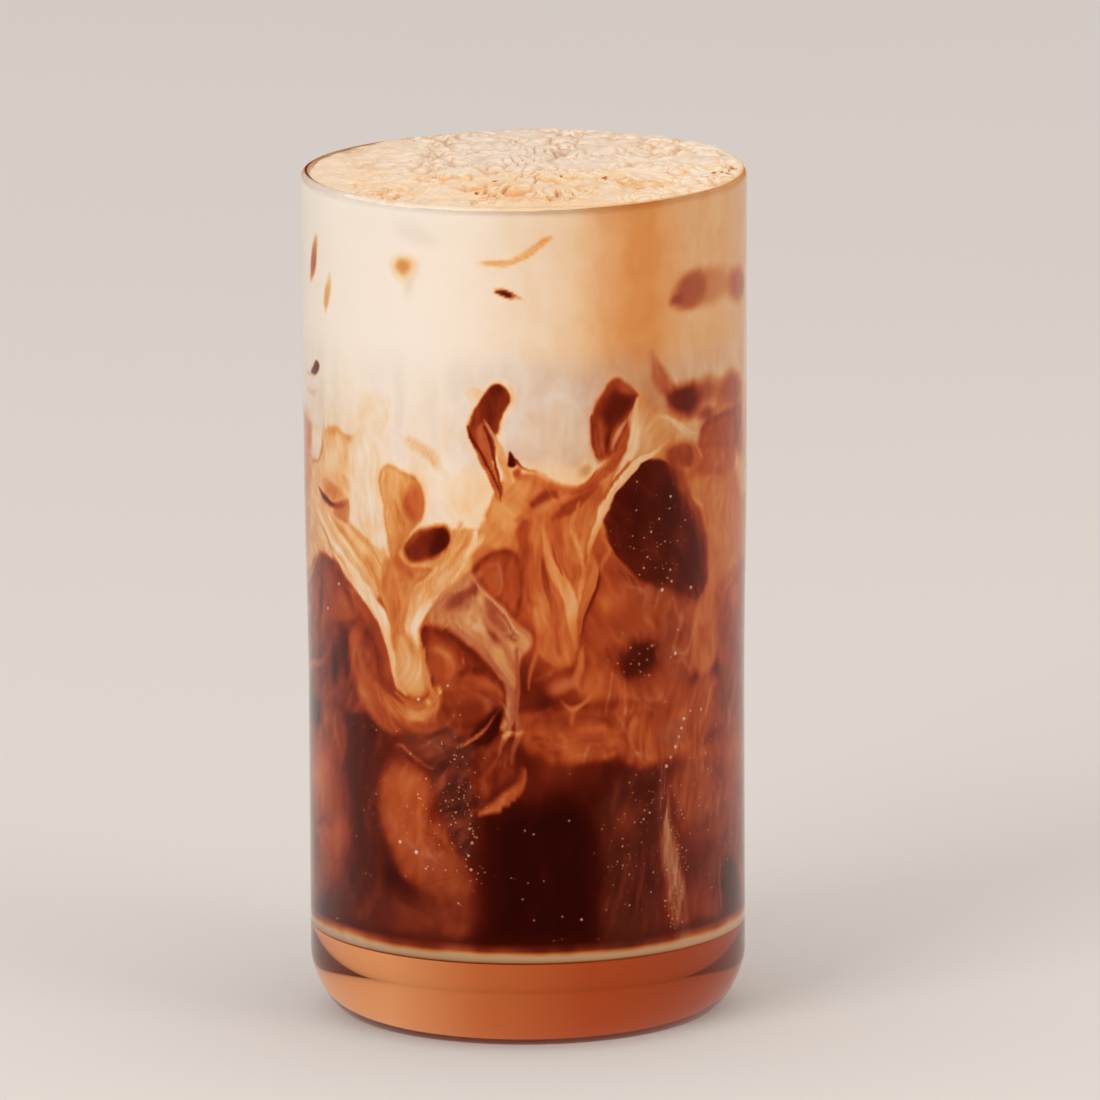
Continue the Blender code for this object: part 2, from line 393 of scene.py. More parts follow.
def paint_deep_coffee(wall):
    """The darkest coffee, low down, and the ice that glows red in it."""
    wall.shape([(-58, 58), (-48, 58), (-40, 58.5), (-35.5, 52), (-36, 44), (-34.5, 36), (-36.5, 28),
            (-44, 22), (-52, 22), (-58, 28)], (0.26, 0.28), soft=4.0, depth=4.0, glow=0.3)
    wall.shape([(-36.4, 58), (-28, 59), (-25, 54), (-27, 48), (-28, 38), (-26, 30), (-31, 20), (-36, 26),
            (-35.4, 44)], (0.20, 0.13), soft=4.0, depth=3.0, glow=0.1)
    wall.shape([(-56, 55.8), (-49, 55.9), (-43.8, 55), (-43.2, 51.6), (-48, 50.2), (-56, 50.6)],
            (0.18, 0.11), soft=2.6, depth=1.6)
    wall.shape([(-44, 54), (-39.6, 54.8), (-36, 52.4), (-35.8, 48), (-38, 45.6), (-42.6, 46.4)],
            (0.3, 0.35), soft=2.6, glow=0.5)
    wall.spot((-45.2, 42.4), (4.8, 4.4), 0.49, tilt=-25, soft=0.9, glow=0.5)
    wall.spot((-42.4, 39.4), (3.2, 2.2), 0.48, tilt=-35, soft=0.9, glow=0.5, cover=0.7)
    wall.spot((-40.4, 33.4), (5.4, 5.0), 0.41, tilt=-20, soft=0.8, glow=0.6)
    wall.spot((-37.6, 39.2), (2.8, 2.4), 0.36, soft=0.9, glow=0.5, cover=0.7)
    wall.ribbon([(-48, 33.6, 0.3, 0.2), (-45, 35.0, 0.6, 0.2), (-42.4, 35.4, 0.5, 0.24),
            (-40, 34.4, 0.2, 0.3)], soft=1.6, glow=0.2, cover=0.8)
    wall.spot((-48.4, 29), (2.2, 2.4), 0.2, soft=0.9, haze=0.3, cover=0.8)
    wall.shape([(-26.6, 43), (-25, 46.6), (-21.4, 48.6), (-17.6, 47.8), (-15.8, 45), (-15.6, 41),
            (-13.2, 37.4), (-11.2, 33.4), (-11.4, 29), (-14.6, 26), (-19, 27), (-23.6, 30.8), (-26, 36)],
            (0.31, 0.41), soft=3.0, depth=3.0, glow=0.55, silk=0.09)
    # A painted highlight along the top of this ice.
    wall.spot((-20.8, 44.6), (4.0, 2.8), 0.5, tilt=-8, soft=0.9, glow=0.6, cover=0.85)
    wall.spot((-22.6, 38.6), (2.6, 5.0), 0.44, tilt=8, soft=0.9, glow=0.55, cover=0.75)
    wall.spot((-15.4, 31.6), (3.8, 3.2), 0.39, tilt=-40, soft=0.85, glow=0.4, haze=0.15, cover=0.85)
    wall.spot((-13.4, 28.6), (4.0, 4.0), 0.33, soft=0.95, glow=0.3, haze=0.1, cover=0.8)
    wall.ribbon([(-23, 34.8, 0.15, 0.4), (-21, 35.0, 0.3, 0.5), (-19, 33.8, 0.35, 0.47),
            (-16.4, 33.4, 0.4, 0.5), (-13.6, 34.2, 0.2, 0.44)], soft=0.7, glow=0.4, haze=0.2, cover=0.7)
    wall.ribbon([(-17.6, 37.4, 0.2, 0.3), (-15.4, 35.8, 0.5, 0.26), (-13.4, 33.8, 0.3, 0.3)], soft=0.8,
            glow=0.2, cover=0.7)
    wall.ribbon([(-18.6, 35.6, 0.1, 0.4), (-17.0, 34.2, 0.25, 0.5), (-15.2, 32.4, 0.15, 0.44)], soft=0.4,
            glow=0.3, haze=0.2, cover=0.8)
    wall.spot((-20, 22), (7.0, 3.6), 0.25, soft=0.95, haze=0.12, glow=0.2)
    wall.spot((-13, 20), (3.4, 5.0), 0.27, soft=0.95, haze=0.15, glow=0.2)
    wall.shape([(-17, 54), (-12, 55), (-8.4, 52), (-7.6, 44), (-8.6, 35), (-11, 33.4), (-13.5, 38.4),
            (-15.6, 44)], (0.19, 0.2), soft=2.6, haze=0.35, silk=0.14, flow=40)
    wall.shape([(-9.0, 42.6), (-8.4, 34), (-8.4, 24), (-9, 10), (15, 10), (14.2, 24), (14, 33),
            (12.6, 40.4), (9, 44.2), (4, 45.6), (0.6, 43.6), (-2.4, 44.4), (-5.6, 41.6)], (0.11, 0.015),
            soft=4.4, depth=5.0, silk=0.03)
    wall.shape([(13, 10), (13.4, 30), (12.4, 41), (16.6, 46.6), (22.6, 46.4), (25.2, 40), (24.4, 28),
            (23.6, 10)], (0.15, 0.14), soft=4.4, haze=0.22, glow=0.1, silk=0.07)
    wall.spot((17.4, 38.4), (3.4, 2.6), 0.27, tilt=20, soft=0.95, glow=0.2, haze=0.1, cover=0.8)
    wall.spot((20, 43.4), (3.0, 1.8), 0.1, soft=0.9, cover=0.7)
    wall.ribbon([(-10.2, 41.0, 0.12, 0.38), (-7, 41.2, 0.5, 0.48), (-4.2, 42.2, 1.0, 0.5),
            (-1.8, 44.4, 1.0, 0.44), (-0.8, 46.4, 0.7, 0.38), (-0.6, 48.5, 0.4, 0.34)], soft=(1.4, 0.4),
            glow=0.5, silk=0.07)
    wall.shape([(-8.5, 43.5), (-4.5, 44.4), (-1.8, 46.6), (-1.4, 50), (-3, 53.5), (-6, 54), (-8.8, 50)],
            (0.21, 0.25), soft=1.6, glow=0.3, silk=0.08)
    wall.shape([(28, 50), (36, 50), (46, 52), (58, 52), (58, 30), (48, 29), (38, 31), (29, 30), (27, 40)],
            (0.30, 0.35), soft=4.0, depth=4.0, glow=0.4, slope=(0.0, 0.005))
    wall.shape([(26, 33), (36, 32), (46, 33), (58, 33), (58, 10), (44, 10), (30, 10), (24, 12), (24.5, 26)],
            (0.25, 0.25), soft=4.4, glow=0.25, slope=(0.004, 0.0))
    wall.shape([(26, 46), (31, 47), (38, 45.4), (41.5, 41), (39, 36.4), (32, 35), (27.6, 38), (25.6, 42)],
            (0.30, 0.35), soft=3.0, haze=0.12, glow=0.3, silk=0.07)
    wall.spot((35, 42.4), (3.6, 2.0), 0.38, tilt=-14, soft=0.95, glow=0.4, cover=0.7)
    wall.ribbon([(24.0, 47, 0.4, 0.3), (24.4, 42, 0.9, 0.34), (25.0, 36, 1.3, 0.46), (26.2, 29, 1.7, 0.54),
            (27.6, 23, 1.7, 0.5), (28.6, 17, 1.5, 0.44), (29.2, 12, 1.2, 0.4)], soft=2.0, haze=0.45,
            silk=0.2)
    wall.shape([(38.5, 28), (42, 28.6), (45.6, 27), (48, 23.5), (48.6, 19), (44, 18), (38, 19.4)],
            (0.17, 0.12), soft=2.0, glow=0.1)
    wall.ribbon([(38.8, 28.6, 0.2, 0.36), (38.6, 25, 0.35, 0.38), (39.2, 20, 0.3, 0.34)], soft=0.7,
            haze=0.2, cover=0.7)
    wall.spot((33, 20.6), (5.0, 2.0), 0.3, soft=0.95, glow=0.3, cover=0.7)


def paint_middle(wall):
    """The reddish middle of the front: bowls of mixed coffee with fine threads of milk."""
    wall.shape([(-2, 58), (6, 58), (13, 57.6), (21, 60), (30, 58), (38, 56), (36, 50), (28, 48), (20, 47.5),
            (16, 50), (9, 49.4), (3, 50), (-1, 52.5)], (0.36, 0.40), soft=2.4, glow=0.45, silk=0.1)
    wall.shape([(1.4, 57), (6, 57.8), (12, 57.4), (16, 55), (17, 52), (14, 50.2), (9, 49.6), (3.6, 50.6),
            (1.2, 53)], (0.36, 0.40), soft=1.6, glow=0.5, silk=0.1, flow=10)
    wall.spot((8.2, 52.6), (1.3, 2.0), 0.46, tilt=-30, soft=0.7, glow=0.6, cover=0.6)
    wall.shape([(11, 84), (16, 83), (20, 79), (27, 76), (32, 75), (33, 66), (30, 60), (20, 59), (12, 60),
            (9, 66), (10, 74)], (0.35, 0.37), soft=2.0, glow=0.4, silk=0.08, flow=-60)
    wall.spot((18, 74), (4.0, 2.6), 0.41, tilt=20, soft=0.9, glow=0.5, cover=0.8)
    wall.spot((24, 76), (4.6, 1.6), 0.38, tilt=-8, soft=0.9, haze=0.15, cover=0.7)
    wall.shape([(14.4, 65.4), (17, 68.4), (20.5, 69.6), (23.6, 68.6), (24, 65.4), (22, 62.6), (18.4, 61.6),
            (15.6, 62.6)], (0.24, 0.12), soft=3.0, depth=2.6)
    wall.shape([(24, 73), (29, 73), (31, 68), (30.4, 63), (27, 61), (23.6, 64)], (0.34, 0.37), soft=3.0,
            haze=0.12)
    wall.shape([(22, 60), (30, 61), (37, 61), (40, 56), (36, 52.4), (29, 51), (23, 52.6)], (0.36, 0.40),
            soft=2.4, glow=0.45, silk=0.08)
    wall.shape([(23.6, 54), (26, 55), (29, 54.8), (29.6, 52), (27.8, 50.2), (24.6, 50.4)], (0.36, 0.41),
            soft=1.8, haze=0.2, glow=0.2)
    wall.spot((8, 56.4), (9.0, 1.3), 0.26, soft=0.9, glow=0.3, cover=0.7)
    wall.spot((6.2, 62.8), (2.6, 1.3), 0.49, tilt=12, soft=0.6, glow=0.35, haze=0.15)
    wall.spot((11.2, 62.4), (1.9, 2.9), 0.46, tilt=-12, soft=0.6, glow=0.4)
    wall.ribbon([(9.2, 69, 0.2, 0.5), (8.8, 66.6, 0.5, 0.56), (8.4, 64.6, 0.8, 0.56), (8.4, 62.6, 0.5, 0.5),
            (9.4, 61, 0.3, 0.4)], soft=(0.8, 0.9), glow=0.2, cover=0.8)
    wall.ribbon([(6.4, 59.8, 0.15, 0.46), (7.6, 58.6, 0.4, 0.58), (9.0, 58.4, 0.5, 0.62),
            (10.4, 59.4, 0.4, 0.56), (11.6, 61.2, 0.25, 0.46)], soft=(0.8, 0.6), glow=0.2, cover=0.75)
    wall.ribbon([(8.8, 58.4, 0.3, 0.5), (8.0, 56.8, 0.4, 0.48), (7.4, 55, 0.2, 0.42)], soft=0.7, glow=0.3,
            cover=0.7)
    for strand in ([(14.8, 57.6, 0.12, 0.42), (16.4, 56, 0.22, 0.5), (17.8, 53.6, 0.25, 0.52),
                    (18.8, 51, 0.25, 0.54), (19.8, 49.2, 0.22, 0.5), (20.8, 47.6, 0.12, 0.42)],
                   [(15.5, 60.4, 0.1, 0.42), (18.4, 59.9, 0.22, 0.48), (20.4, 58.0, 0.2, 0.48),
                    (22.6, 56.8, 0.2, 0.46), (24.6, 56.6, 0.12, 0.42)], [(19, 61.5, 0.1, 0.4),
            (21, 59.5, 0.2, 0.46), (23.8, 58.6, 0.16, 0.46), (26, 57, 0.1, 0.42)], [(28.4, 51.4, 0.15, 0.5),
            (27.4, 50, 0.28, 0.56), (26.4, 48.2, 0.22, 0.52), (25.4, 46.6, 0.15, 0.46)],
                   [(0.2, 56, 0.1, 0.4), (2.2, 58.4, 0.2, 0.44), (5, 59.4, 0.15, 0.42)],
                   [(1.6, 63.6, 0.15, 0.4), (3.6, 64.6, 0.25, 0.46), (5.4, 66.2, 0.2, 0.44)],
                   [(12.6, 68.6, 0.12, 0.42), (14, 70.4, 0.22, 0.46), (16, 71.4, 0.15, 0.42)],
                   [(20.6, 74.4, 0.1, 0.4), (21.6, 72.2, 0.25, 0.5), (22.6, 71, 0.12, 0.44)],
                   [(2.4, 54.6, 0.12, 0.4), (5.0, 52.4, 0.2, 0.46), (6.2, 50.4, 0.12, 0.4)],):
        wall.ribbon(strand, soft=0.6, haze=0.12, glow=0.3, cover=0.65)


def paint_right_side(wall):
    """The orange column at the right, with red patches where ice presses on the glass."""
    wall.shape([(27, 98), (33, 98.6), (40, 97), (46, 98), (56, 98), (56, 76), (49, 75), (43, 74.6),
            (40, 69), (37.6, 62.6), (33.6, 61), (31, 65), (31.4, 72), (34.6, 78), (34.2, 84), (31.4, 90),
            (28, 95)], (0.5, 0.545), soft=2.0, depth=4.0, glow=0.4, silk=0.05, flow=86)
    wall.shape([(38, 76), (45, 77), (56, 78), (56, 60), (46, 58), (40, 60), (38, 66)], (0.38, 0.36),
            soft=3.0, glow=0.6)
    wall.shape([(42, 63), (49, 66), (58, 68), (58, 48), (46, 48), (38, 52), (37, 56.6)], (0.33, 0.30),
            soft=4.0, depth=5.0, glow=0.55)
    wall.spot((35, 67.6), (2.2, 4.6), 0.47, soft=0.9, glow=0.4, cover=0.7)
    wall.spot((44.6, 73.4), (2.2, 2.0), 0.52, tilt=-30, soft=0.7, glow=0.5, cover=0.8)
    wall.spot((42, 79.6), (3.6, 4.0), 0.53, soft=0.9, glow=0.5, cover=0.7)
    wall.spot((46.5, 85), (2.4, 6.0), 0.5, soft=0.9, glow=0.6, cover=0.5)
    wall.ribbon([(37, 96, 0.3, 0.58), (36.6, 92, 0.5, 0.6), (36.5, 88, 0.4, 0.58), (36.8, 84, 0.2, 0.54)],
            soft=0.6, glow=0.3, cover=0.7)
    wall.shape([(43.6, 98.8), (46.6, 97), (50, 96), (54, 92), (51, 88.6), (47.6, 89.6), (45.6, 93),
            (43.6, 96)], (0.64, 0.72), soft=1.8, glow=0.2, flow=-60)
    wall.shape([(19, 112), (23, 109), (27, 106.4), (32, 106), (36, 104), (34, 101), (27, 101), (22, 100.6),
            (18.6, 99.4), (17.6, 103)], (0.62, 0.68), soft=1.8, haze=0.15, flow=50)
    wall.ribbon([(23.6, 106.8, 0.2, 0.72), (26, 105.6, 0.5, 0.78), (28.6, 103.8, 0.6, 0.78),
            (32, 103, 0.3, 0.72)], soft=0.7, haze=0.15)
    wall.shape([(33, 103.8), (35, 105.2), (40, 104.6), (45, 105.4), (49, 104.4), (48, 100.6), (45, 98.4),
            (41, 98.6), (36, 99.6), (32.4, 100.4)], (0.37, 0.40), soft=1.8, glow=0.5)
    wall.ribbon([(33, 103.4, 0.3, 0.36), (35.4, 104.9, 0.6, 0.3), (39, 104.2, 0.4, 0.32),
            (42.4, 104.4, 0.5, 0.3), (46, 104.8, 0.3, 0.38)], soft=(0.8, 1.4), glow=0.3)
    wall.shape([(24.6, 100.6), (28, 102), (31, 101.2), (34, 99.6), (40, 99), (45, 97.8), (43, 95.2),
            (38, 94.8), (33, 95.4), (29, 95), (26, 97)], (0.42, 0.46), soft=2.0, glow=0.45)
    wall.shape([(25, 100.2), (28, 101.6), (30.6, 100.6), (30.4, 97.6), (27, 97.6)], (0.36, 0.34), soft=0.9,
            glow=0.4)
    wall.ribbon([(30.4, 101.8, 0.1, 0.54), (32, 100.6, 0.25, 0.6), (33.2, 98.8, 0.3, 0.6),
            (33.8, 97.6, 0.1, 0.52)], soft=(0.3, 0.5), glow=0.3)
    wall.ribbon([(30.6, 92.8, 0.1, 0.54), (32, 91.6, 0.35, 0.62), (33.2, 90, 0.25, 0.6),
            (33.8, 89, 0.1, 0.54)], soft=(0.3, 0.5), glow=0.3)
    wall.ribbon([(21.8, 117.8, 0.5, 0.58), (22.8, 115, 1.4, 0.5), (24, 112.8, 1.6, 0.48),
            (26.2, 110.6, 1.3, 0.42)], soft=1.4, haze=0.25, glow=0.4)
    wall.spot((34, 109.4), (4.4, 2.2), 0.42, soft=0.7, haze=0.15, glow=0.5)
    wall.spot((29, 109.0), (3.9, 3.1), 0.17, tilt=-10, soft=0.42, glow=0.2)
    wall.spot((34.6, 105.9), (2.6, 1.0), 0.36, tilt=-8, soft=0.7, haze=0.2, glow=0.3)
    wall.spot((43, 108.4), (5.2, 2.8), 0.38, tilt=-4, glow=0.6)
    wall.ribbon([(51.5, 119, 0.8, 0.8), (51, 110, 1.4, 0.78), (50.5, 102, 1.4, 0.76), (51, 94, 1.2, 0.68)],
            soft=1.6, cover=0.6)


def paint_big_window(wall):
    """The big dark oval on the right of the front, where clear ice shows the black coffee behind it."""
    wall.shape([(20.2, 99.9), (23.2, 99.5), (26.2, 97.4), (28.6, 93.6), (31.2, 89), (33.7, 84.2),
            (34.9, 79.8), (34.2, 76.2), (31.6, 74.6), (28.4, 75.4), (25, 76.8), (22, 78.2), (19.6, 79.9),
            (17.6, 82.2), (15.2, 84.9), (13.9, 87.6), (12.6, 90.0), (13.6, 92.2), (15.3, 94.6),
            (17.6, 97.4)], (0.17, 0.135), soft=0.8, depth=3.0, slope=(0.003, -0.002), flow=-55)
    wall.ribbon([(25.6, 98.4, 0.7, 0.3), (28, 95, 1.1, 0.3), (30.4, 90.6, 1.1, 0.28),
            (32.8, 86.4, 1.0, 0.26), (34.6, 82, 0.8, 0.26), (34.6, 78, 0.5, 0.3)], soft=(1.2, 2.6),
            glow=0.4, cover=0.8)
    wall.ribbon([(22, 78.1, 0.3, 0.3), (25, 76.6, 0.8, 0.34), (28.4, 75.4, 0.8, 0.34),
            (31, 74.6, 0.5, 0.3)], soft=(2.4, 1.4), haze=0.12, glow=0.3, cover=0.8)
    wall.ribbon([(12.4, 89.4, 0.2, 0.5), (13.2, 87.4, 0.35, 0.54), (14.4, 85.4, 0.32, 0.54),
            (13.2, 83.9, 0.35, 0.5), (12.3, 82.4, 0.3, 0.46), (13.4, 80.8, 0.3, 0.44),
            (14.6, 79.4, 0.15, 0.38)], soft=0.25, glow=0.4)


def paint_golden_folds(wall):
    """The folds of golden milky coffee in the middle of the front, pulled out downwards."""
    wall.shape([(-5.4, 94), (-3.4, 97.4), (0, 98.6), (4.6, 97.2), (9, 96), (13, 96.4), (12.6, 92),
            (11.2, 88.4), (10.2, 84), (12.0, 81.6), (11.4, 77.4), (9.8, 73), (8.3, 68.8), (7.2, 66),
            (4.6, 66), (2.2, 68), (1.0, 73), (-0.6, 78), (-2.2, 83), (-3.6, 85.4), (-5.6, 86.6),
            (-6.4, 90)], (0.46, 0.5), soft=0.7, glow=0.35, silk=0.07, flow=84)
    wall.shape([(-6.4, 91), (-4.4, 95.6), (-2, 97.6), (0.6, 97.2), (0.4, 93), (-1, 89.4), (-3, 87.4),
            (-5.8, 87.6)], (0.58, 0.62), soft=1.4, glow=0.1, silk=0.07, flow=60)
    wall.shape([(-7, 90), (-4.6, 89.4), (-2.4, 87.4), (-3.6, 85.8), (-6.6, 86.4), (-7.4, 88)], (0.6, 0.6),
            soft=1.0, flow=40)
    wall.spot((-2.6, 91.6), (1.8, 2.6), 0.66, tilt=40, soft=0.8)
    wall.ribbon([(0.2, 91.0, 0.6, 0.38), (-0.6, 88.4, 0.9, 0.36), (-0.2, 85, 0.8, 0.36),
            (0.4, 81, 0.7, 0.38), (0.6, 77, 0.5, 0.4)], soft=(1.0, 0.8), glow=0.5)
    for strand in (
        [(-1.4, 90.4, 0.2, 0.46), (2.0, 92.4, 0.4, 0.56), (5.6, 94.2, 0.4, 0.58), (9.4, 95.4, 0.25, 0.54)],
        [(1.4, 93.6, 0.5, 0.3), (3.2, 94.7, 0.8, 0.28), (5.0, 94.8, 0.4, 0.36)],
        [(4.4, 91.4, 0.5, 0.36), (7.0, 92.6, 1.0, 0.34), (9.4, 94.4, 0.9, 0.36), (11.6, 96.0, 0.4, 0.42)],
        [(3.0, 92.0, 0.25, 0.54), (3.0, 89.4, 0.35, 0.6), (3.3, 86.6, 0.45, 0.62), (4.2, 83.6, 0.7, 0.66),
         (5.8, 80.4, 1.1, 0.68), (7.2, 77.4, 1.3, 0.7), (7.8, 75.0, 1.2, 0.7), (7.8, 72.8, 0.8, 0.64),
         (8.0, 70.4, 0.45, 0.56), (8.3, 68.6, 0.2, 0.5)],
        [(8.4, 93.4, 0.2, 0.5), (7.6, 90.4, 0.45, 0.58), (7.9, 87.4, 0.45, 0.6), (8.9, 84.4, 0.4, 0.6),
         (9.4, 81.4, 0.32, 0.6), (9.3, 78.4, 0.35, 0.6), (8.9, 76, 0.2, 0.6)],
        [(5.2, 90.6, 0.7, 0.46), (5.4, 87.0, 0.8, 0.46), (6.2, 83.6, 0.7, 0.48), (7.4, 81.0, 0.4, 0.52)],
        [(10.6, 85.2, 0.3, 0.52), (11.3, 82.4, 0.6, 0.54), (11.0, 79.4, 0.8, 0.54), (10.0, 76.2, 0.6, 0.5),
         (9.2, 73.4, 0.3, 0.46)],
        [(0.8, 86.4, 0.3, 0.4), (1.2, 82.4, 0.5, 0.44), (1.4, 78.4, 0.4, 0.48), (2.0, 75, 0.6, 0.52),
         (2.5, 72, 0.5, 0.5), (2.2, 69, 0.4, 0.46), (1.2, 65.6, 0.3, 0.44), (0.4, 62.6, 0.2, 0.42)],
        [(2.8, 84.4, 0.2, 0.36), (3.4, 81.4, 0.5, 0.34), (3.8, 78, 0.5, 0.36), (4.6, 75, 0.6, 0.42),
         (4.8, 72, 0.7, 0.44), (5.2, 68.6, 0.6, 0.42)],
        [(1.8, 80, 0.1, 0.5), (2.4, 76.6, 0.2, 0.56), (3.4, 73.4, 0.15, 0.54), (4.2, 71, 0.1, 0.48)],
    ):
        wall.ribbon(strand, soft=0.45, glow=0.25)
    wall.ribbon([(12.2, 82.6, 0.12, 0.3), (11.9, 79.4, 0.25, 0.22), (11.0, 75.8, 0.25, 0.2),
            (10.0, 73.0, 0.2, 0.22), (9.0, 70.4, 0.12, 0.28)], soft=(0.7, 0.3), glow=0.2)
    wall.ribbon([(4.3, 87.4, 0.08, 0.4), (4.9, 84.4, 0.14, 0.36), (6.2, 81.2, 0.1, 0.4)], soft=(0.2, 0.4),
            glow=0.3)


def paint_veil(wall):
    """The grey-brown veil of thin milk left of the folds, with bright threads along its edges."""
    wall.shape([(-8.4, 81.4), (-7.2, 83.8), (-4.4, 85.8), (-1.6, 84.8), (-0.5, 81.4), (-0.6, 77.6),
            (-1.6, 74.6), (-3.6, 75.0), (-6.0, 78.0)], (0.31, 0.41), soft=0.6, depth=1.6, glow=0.5,
            silk=0.08, rim=(0.24, 0.4, 0.6))
    wall.spot((-4.6, 81.4), (0.7, 0.8), 0.42, soft=0.9, haze=0.2)
    wall.spot((-1.7, 80.6), (0.9, 2.4), 0.36, soft=0.9, glow=0.4)
    wall.shape([(-17.4, 75.4), (-14.4, 77.6), (-11.6, 79.8), (-9.0, 82.0), (-7.0, 79.6), (-4.6, 76.4),
            (-2.0, 73.4), (0.4, 71.4), (0.9, 69.4), (-0.8, 66.0), (-1.8, 62.4), (-2.0, 58.0), (-3.0, 55.0),
            (-4.6, 55.0), (-3.5, 58.4), (-3.4, 62.0), (-4.8, 65.0), (-7.2, 67.6), (-10.2, 70.2),
            (-13.2, 72.3), (-16, 73.2)], (0.52, 0.57), soft=0.9, haze=0.2, silk=0.14, flow=-50)
    wall.shape([(-15.6, 76.2), (-12.2, 78.8), (-9.8, 79.8), (-8.6, 77.8), (-9.2, 75.2), (-11.8, 74.4),
            (-14.4, 74.8)], (0.5, 0.5), soft=1.6, haze=0.3, silk=0.14, flow=20)
    wall.spot((-10.5, 76.7), (1.2, 1.9), 0.3, tilt=-60, soft=0.9, haze=0.4)
    wall.spot((-8.2, 78.8), (0.7, 1.6), 0.3, tilt=-30, soft=0.9, haze=0.3)
    wall.spot((-5.4, 70.8), (1.8, 0.6), 0.32, tilt=-55, soft=0.9, haze=0.3)
    wall.shape([(-6.4, 77.6), (-4.4, 75.4), (-2, 72.6), (-1.4, 70), (-3.2, 70.4), (-5.2, 72.8),
            (-6.8, 75.2)], (0.38, 0.34), soft=1.2, haze=0.3, silk=0.08, flow=-50)
    for strand in ([(-9.0, 81.6, 0.08, 0.6), (-7.0, 78.8, 0.14, 0.72), (-4.6, 75.6, 0.18, 0.76),
                    (-2.2, 72.6, 0.18, 0.74), (0.4, 69.8, 0.14, 0.68)], [(-5.2, 75.0, 0.08, 0.56),
            (-3.2, 72.4, 0.12, 0.64), (-1.4, 70.4, 0.12, 0.62), (0.0, 69.4, 0.08, 0.58)],
                   [(-16.4, 75.8, 0.2, 0.7), (-14.0, 77.2, 0.3, 0.66), (-11.4, 78.9, 0.3, 0.62),
                    (-9.4, 80.6, 0.2, 0.62)], [(-12.8, 74.6, 0.15, 0.56), (-10.8, 74.2, 0.3, 0.66),
            (-9.0, 74.6, 0.3, 0.68), (-8.4, 76.2, 0.2, 0.62), (-8.6, 77.6, 0.1, 0.54)],
                   [(-9.4, 73.0, 0.15, 0.6), (-8.0, 72.8, 0.4, 0.72), (-6.8, 71.6, 0.4, 0.66),
                    (-5.6, 69.6, 0.25, 0.56)], [(-7.6, 74.6, 0.1, 0.6), (-7.2, 72.8, 0.3, 0.7),
            (-6.2, 70.8, 0.15, 0.6)], [(-14.6, 73.4, 0.15, 0.62), (-12.2, 73.4, 0.3, 0.68),
                                       (-9.6, 71.8, 0.3, 0.66), (-7.4, 69.6, 0.2, 0.6)],
                   [(-12.6, 77.8, 0.15, 0.58), (-11.0, 78.2, 0.3, 0.64), (-9.6, 78.6, 0.2, 0.6)],
                   [(-15.9, 73.4, 0.25, 0.56), (-13.0, 72.6, 0.3, 0.56), (-10.0, 71.0, 0.35, 0.56),
                    (-7.4, 68.6, 0.4, 0.52), (-5.2, 66.2, 0.5, 0.46), (-3.6, 63.8, 0.5, 0.44),
                    (-2.7, 61.0, 0.5, 0.42), (-2.4, 58.0, 0.5, 0.44), (-3.2, 55.2, 0.5, 0.48),
                    (-4.2, 52.8, 0.4, 0.44), (-4.6, 50.6, 0.2, 0.36)], [(-1.4, 68.4, 0.3, 0.42),
            (-1.2, 65.0, 0.4, 0.42), (-1.6, 61.4, 0.4, 0.40), (-1.7, 57.6, 0.4, 0.42),
            (-1.6, 54.6, 0.5, 0.46), (-2.2, 51.8, 0.4, 0.42), (-2.4, 49.4, 0.2, 0.34)],):
        wall.ribbon(strand, soft=0.35, haze=0.3, glow=0.25, cover=0.9)
    wall.spot((-3.5, 54.0), (0.45, 0.9), 0.7, tilt=-70, soft=0.6, haze=0.1)
    wall.spot((-1.7, 54.2), (0.35, 0.8), 0.64, tilt=-70, soft=0.6, haze=0.1)


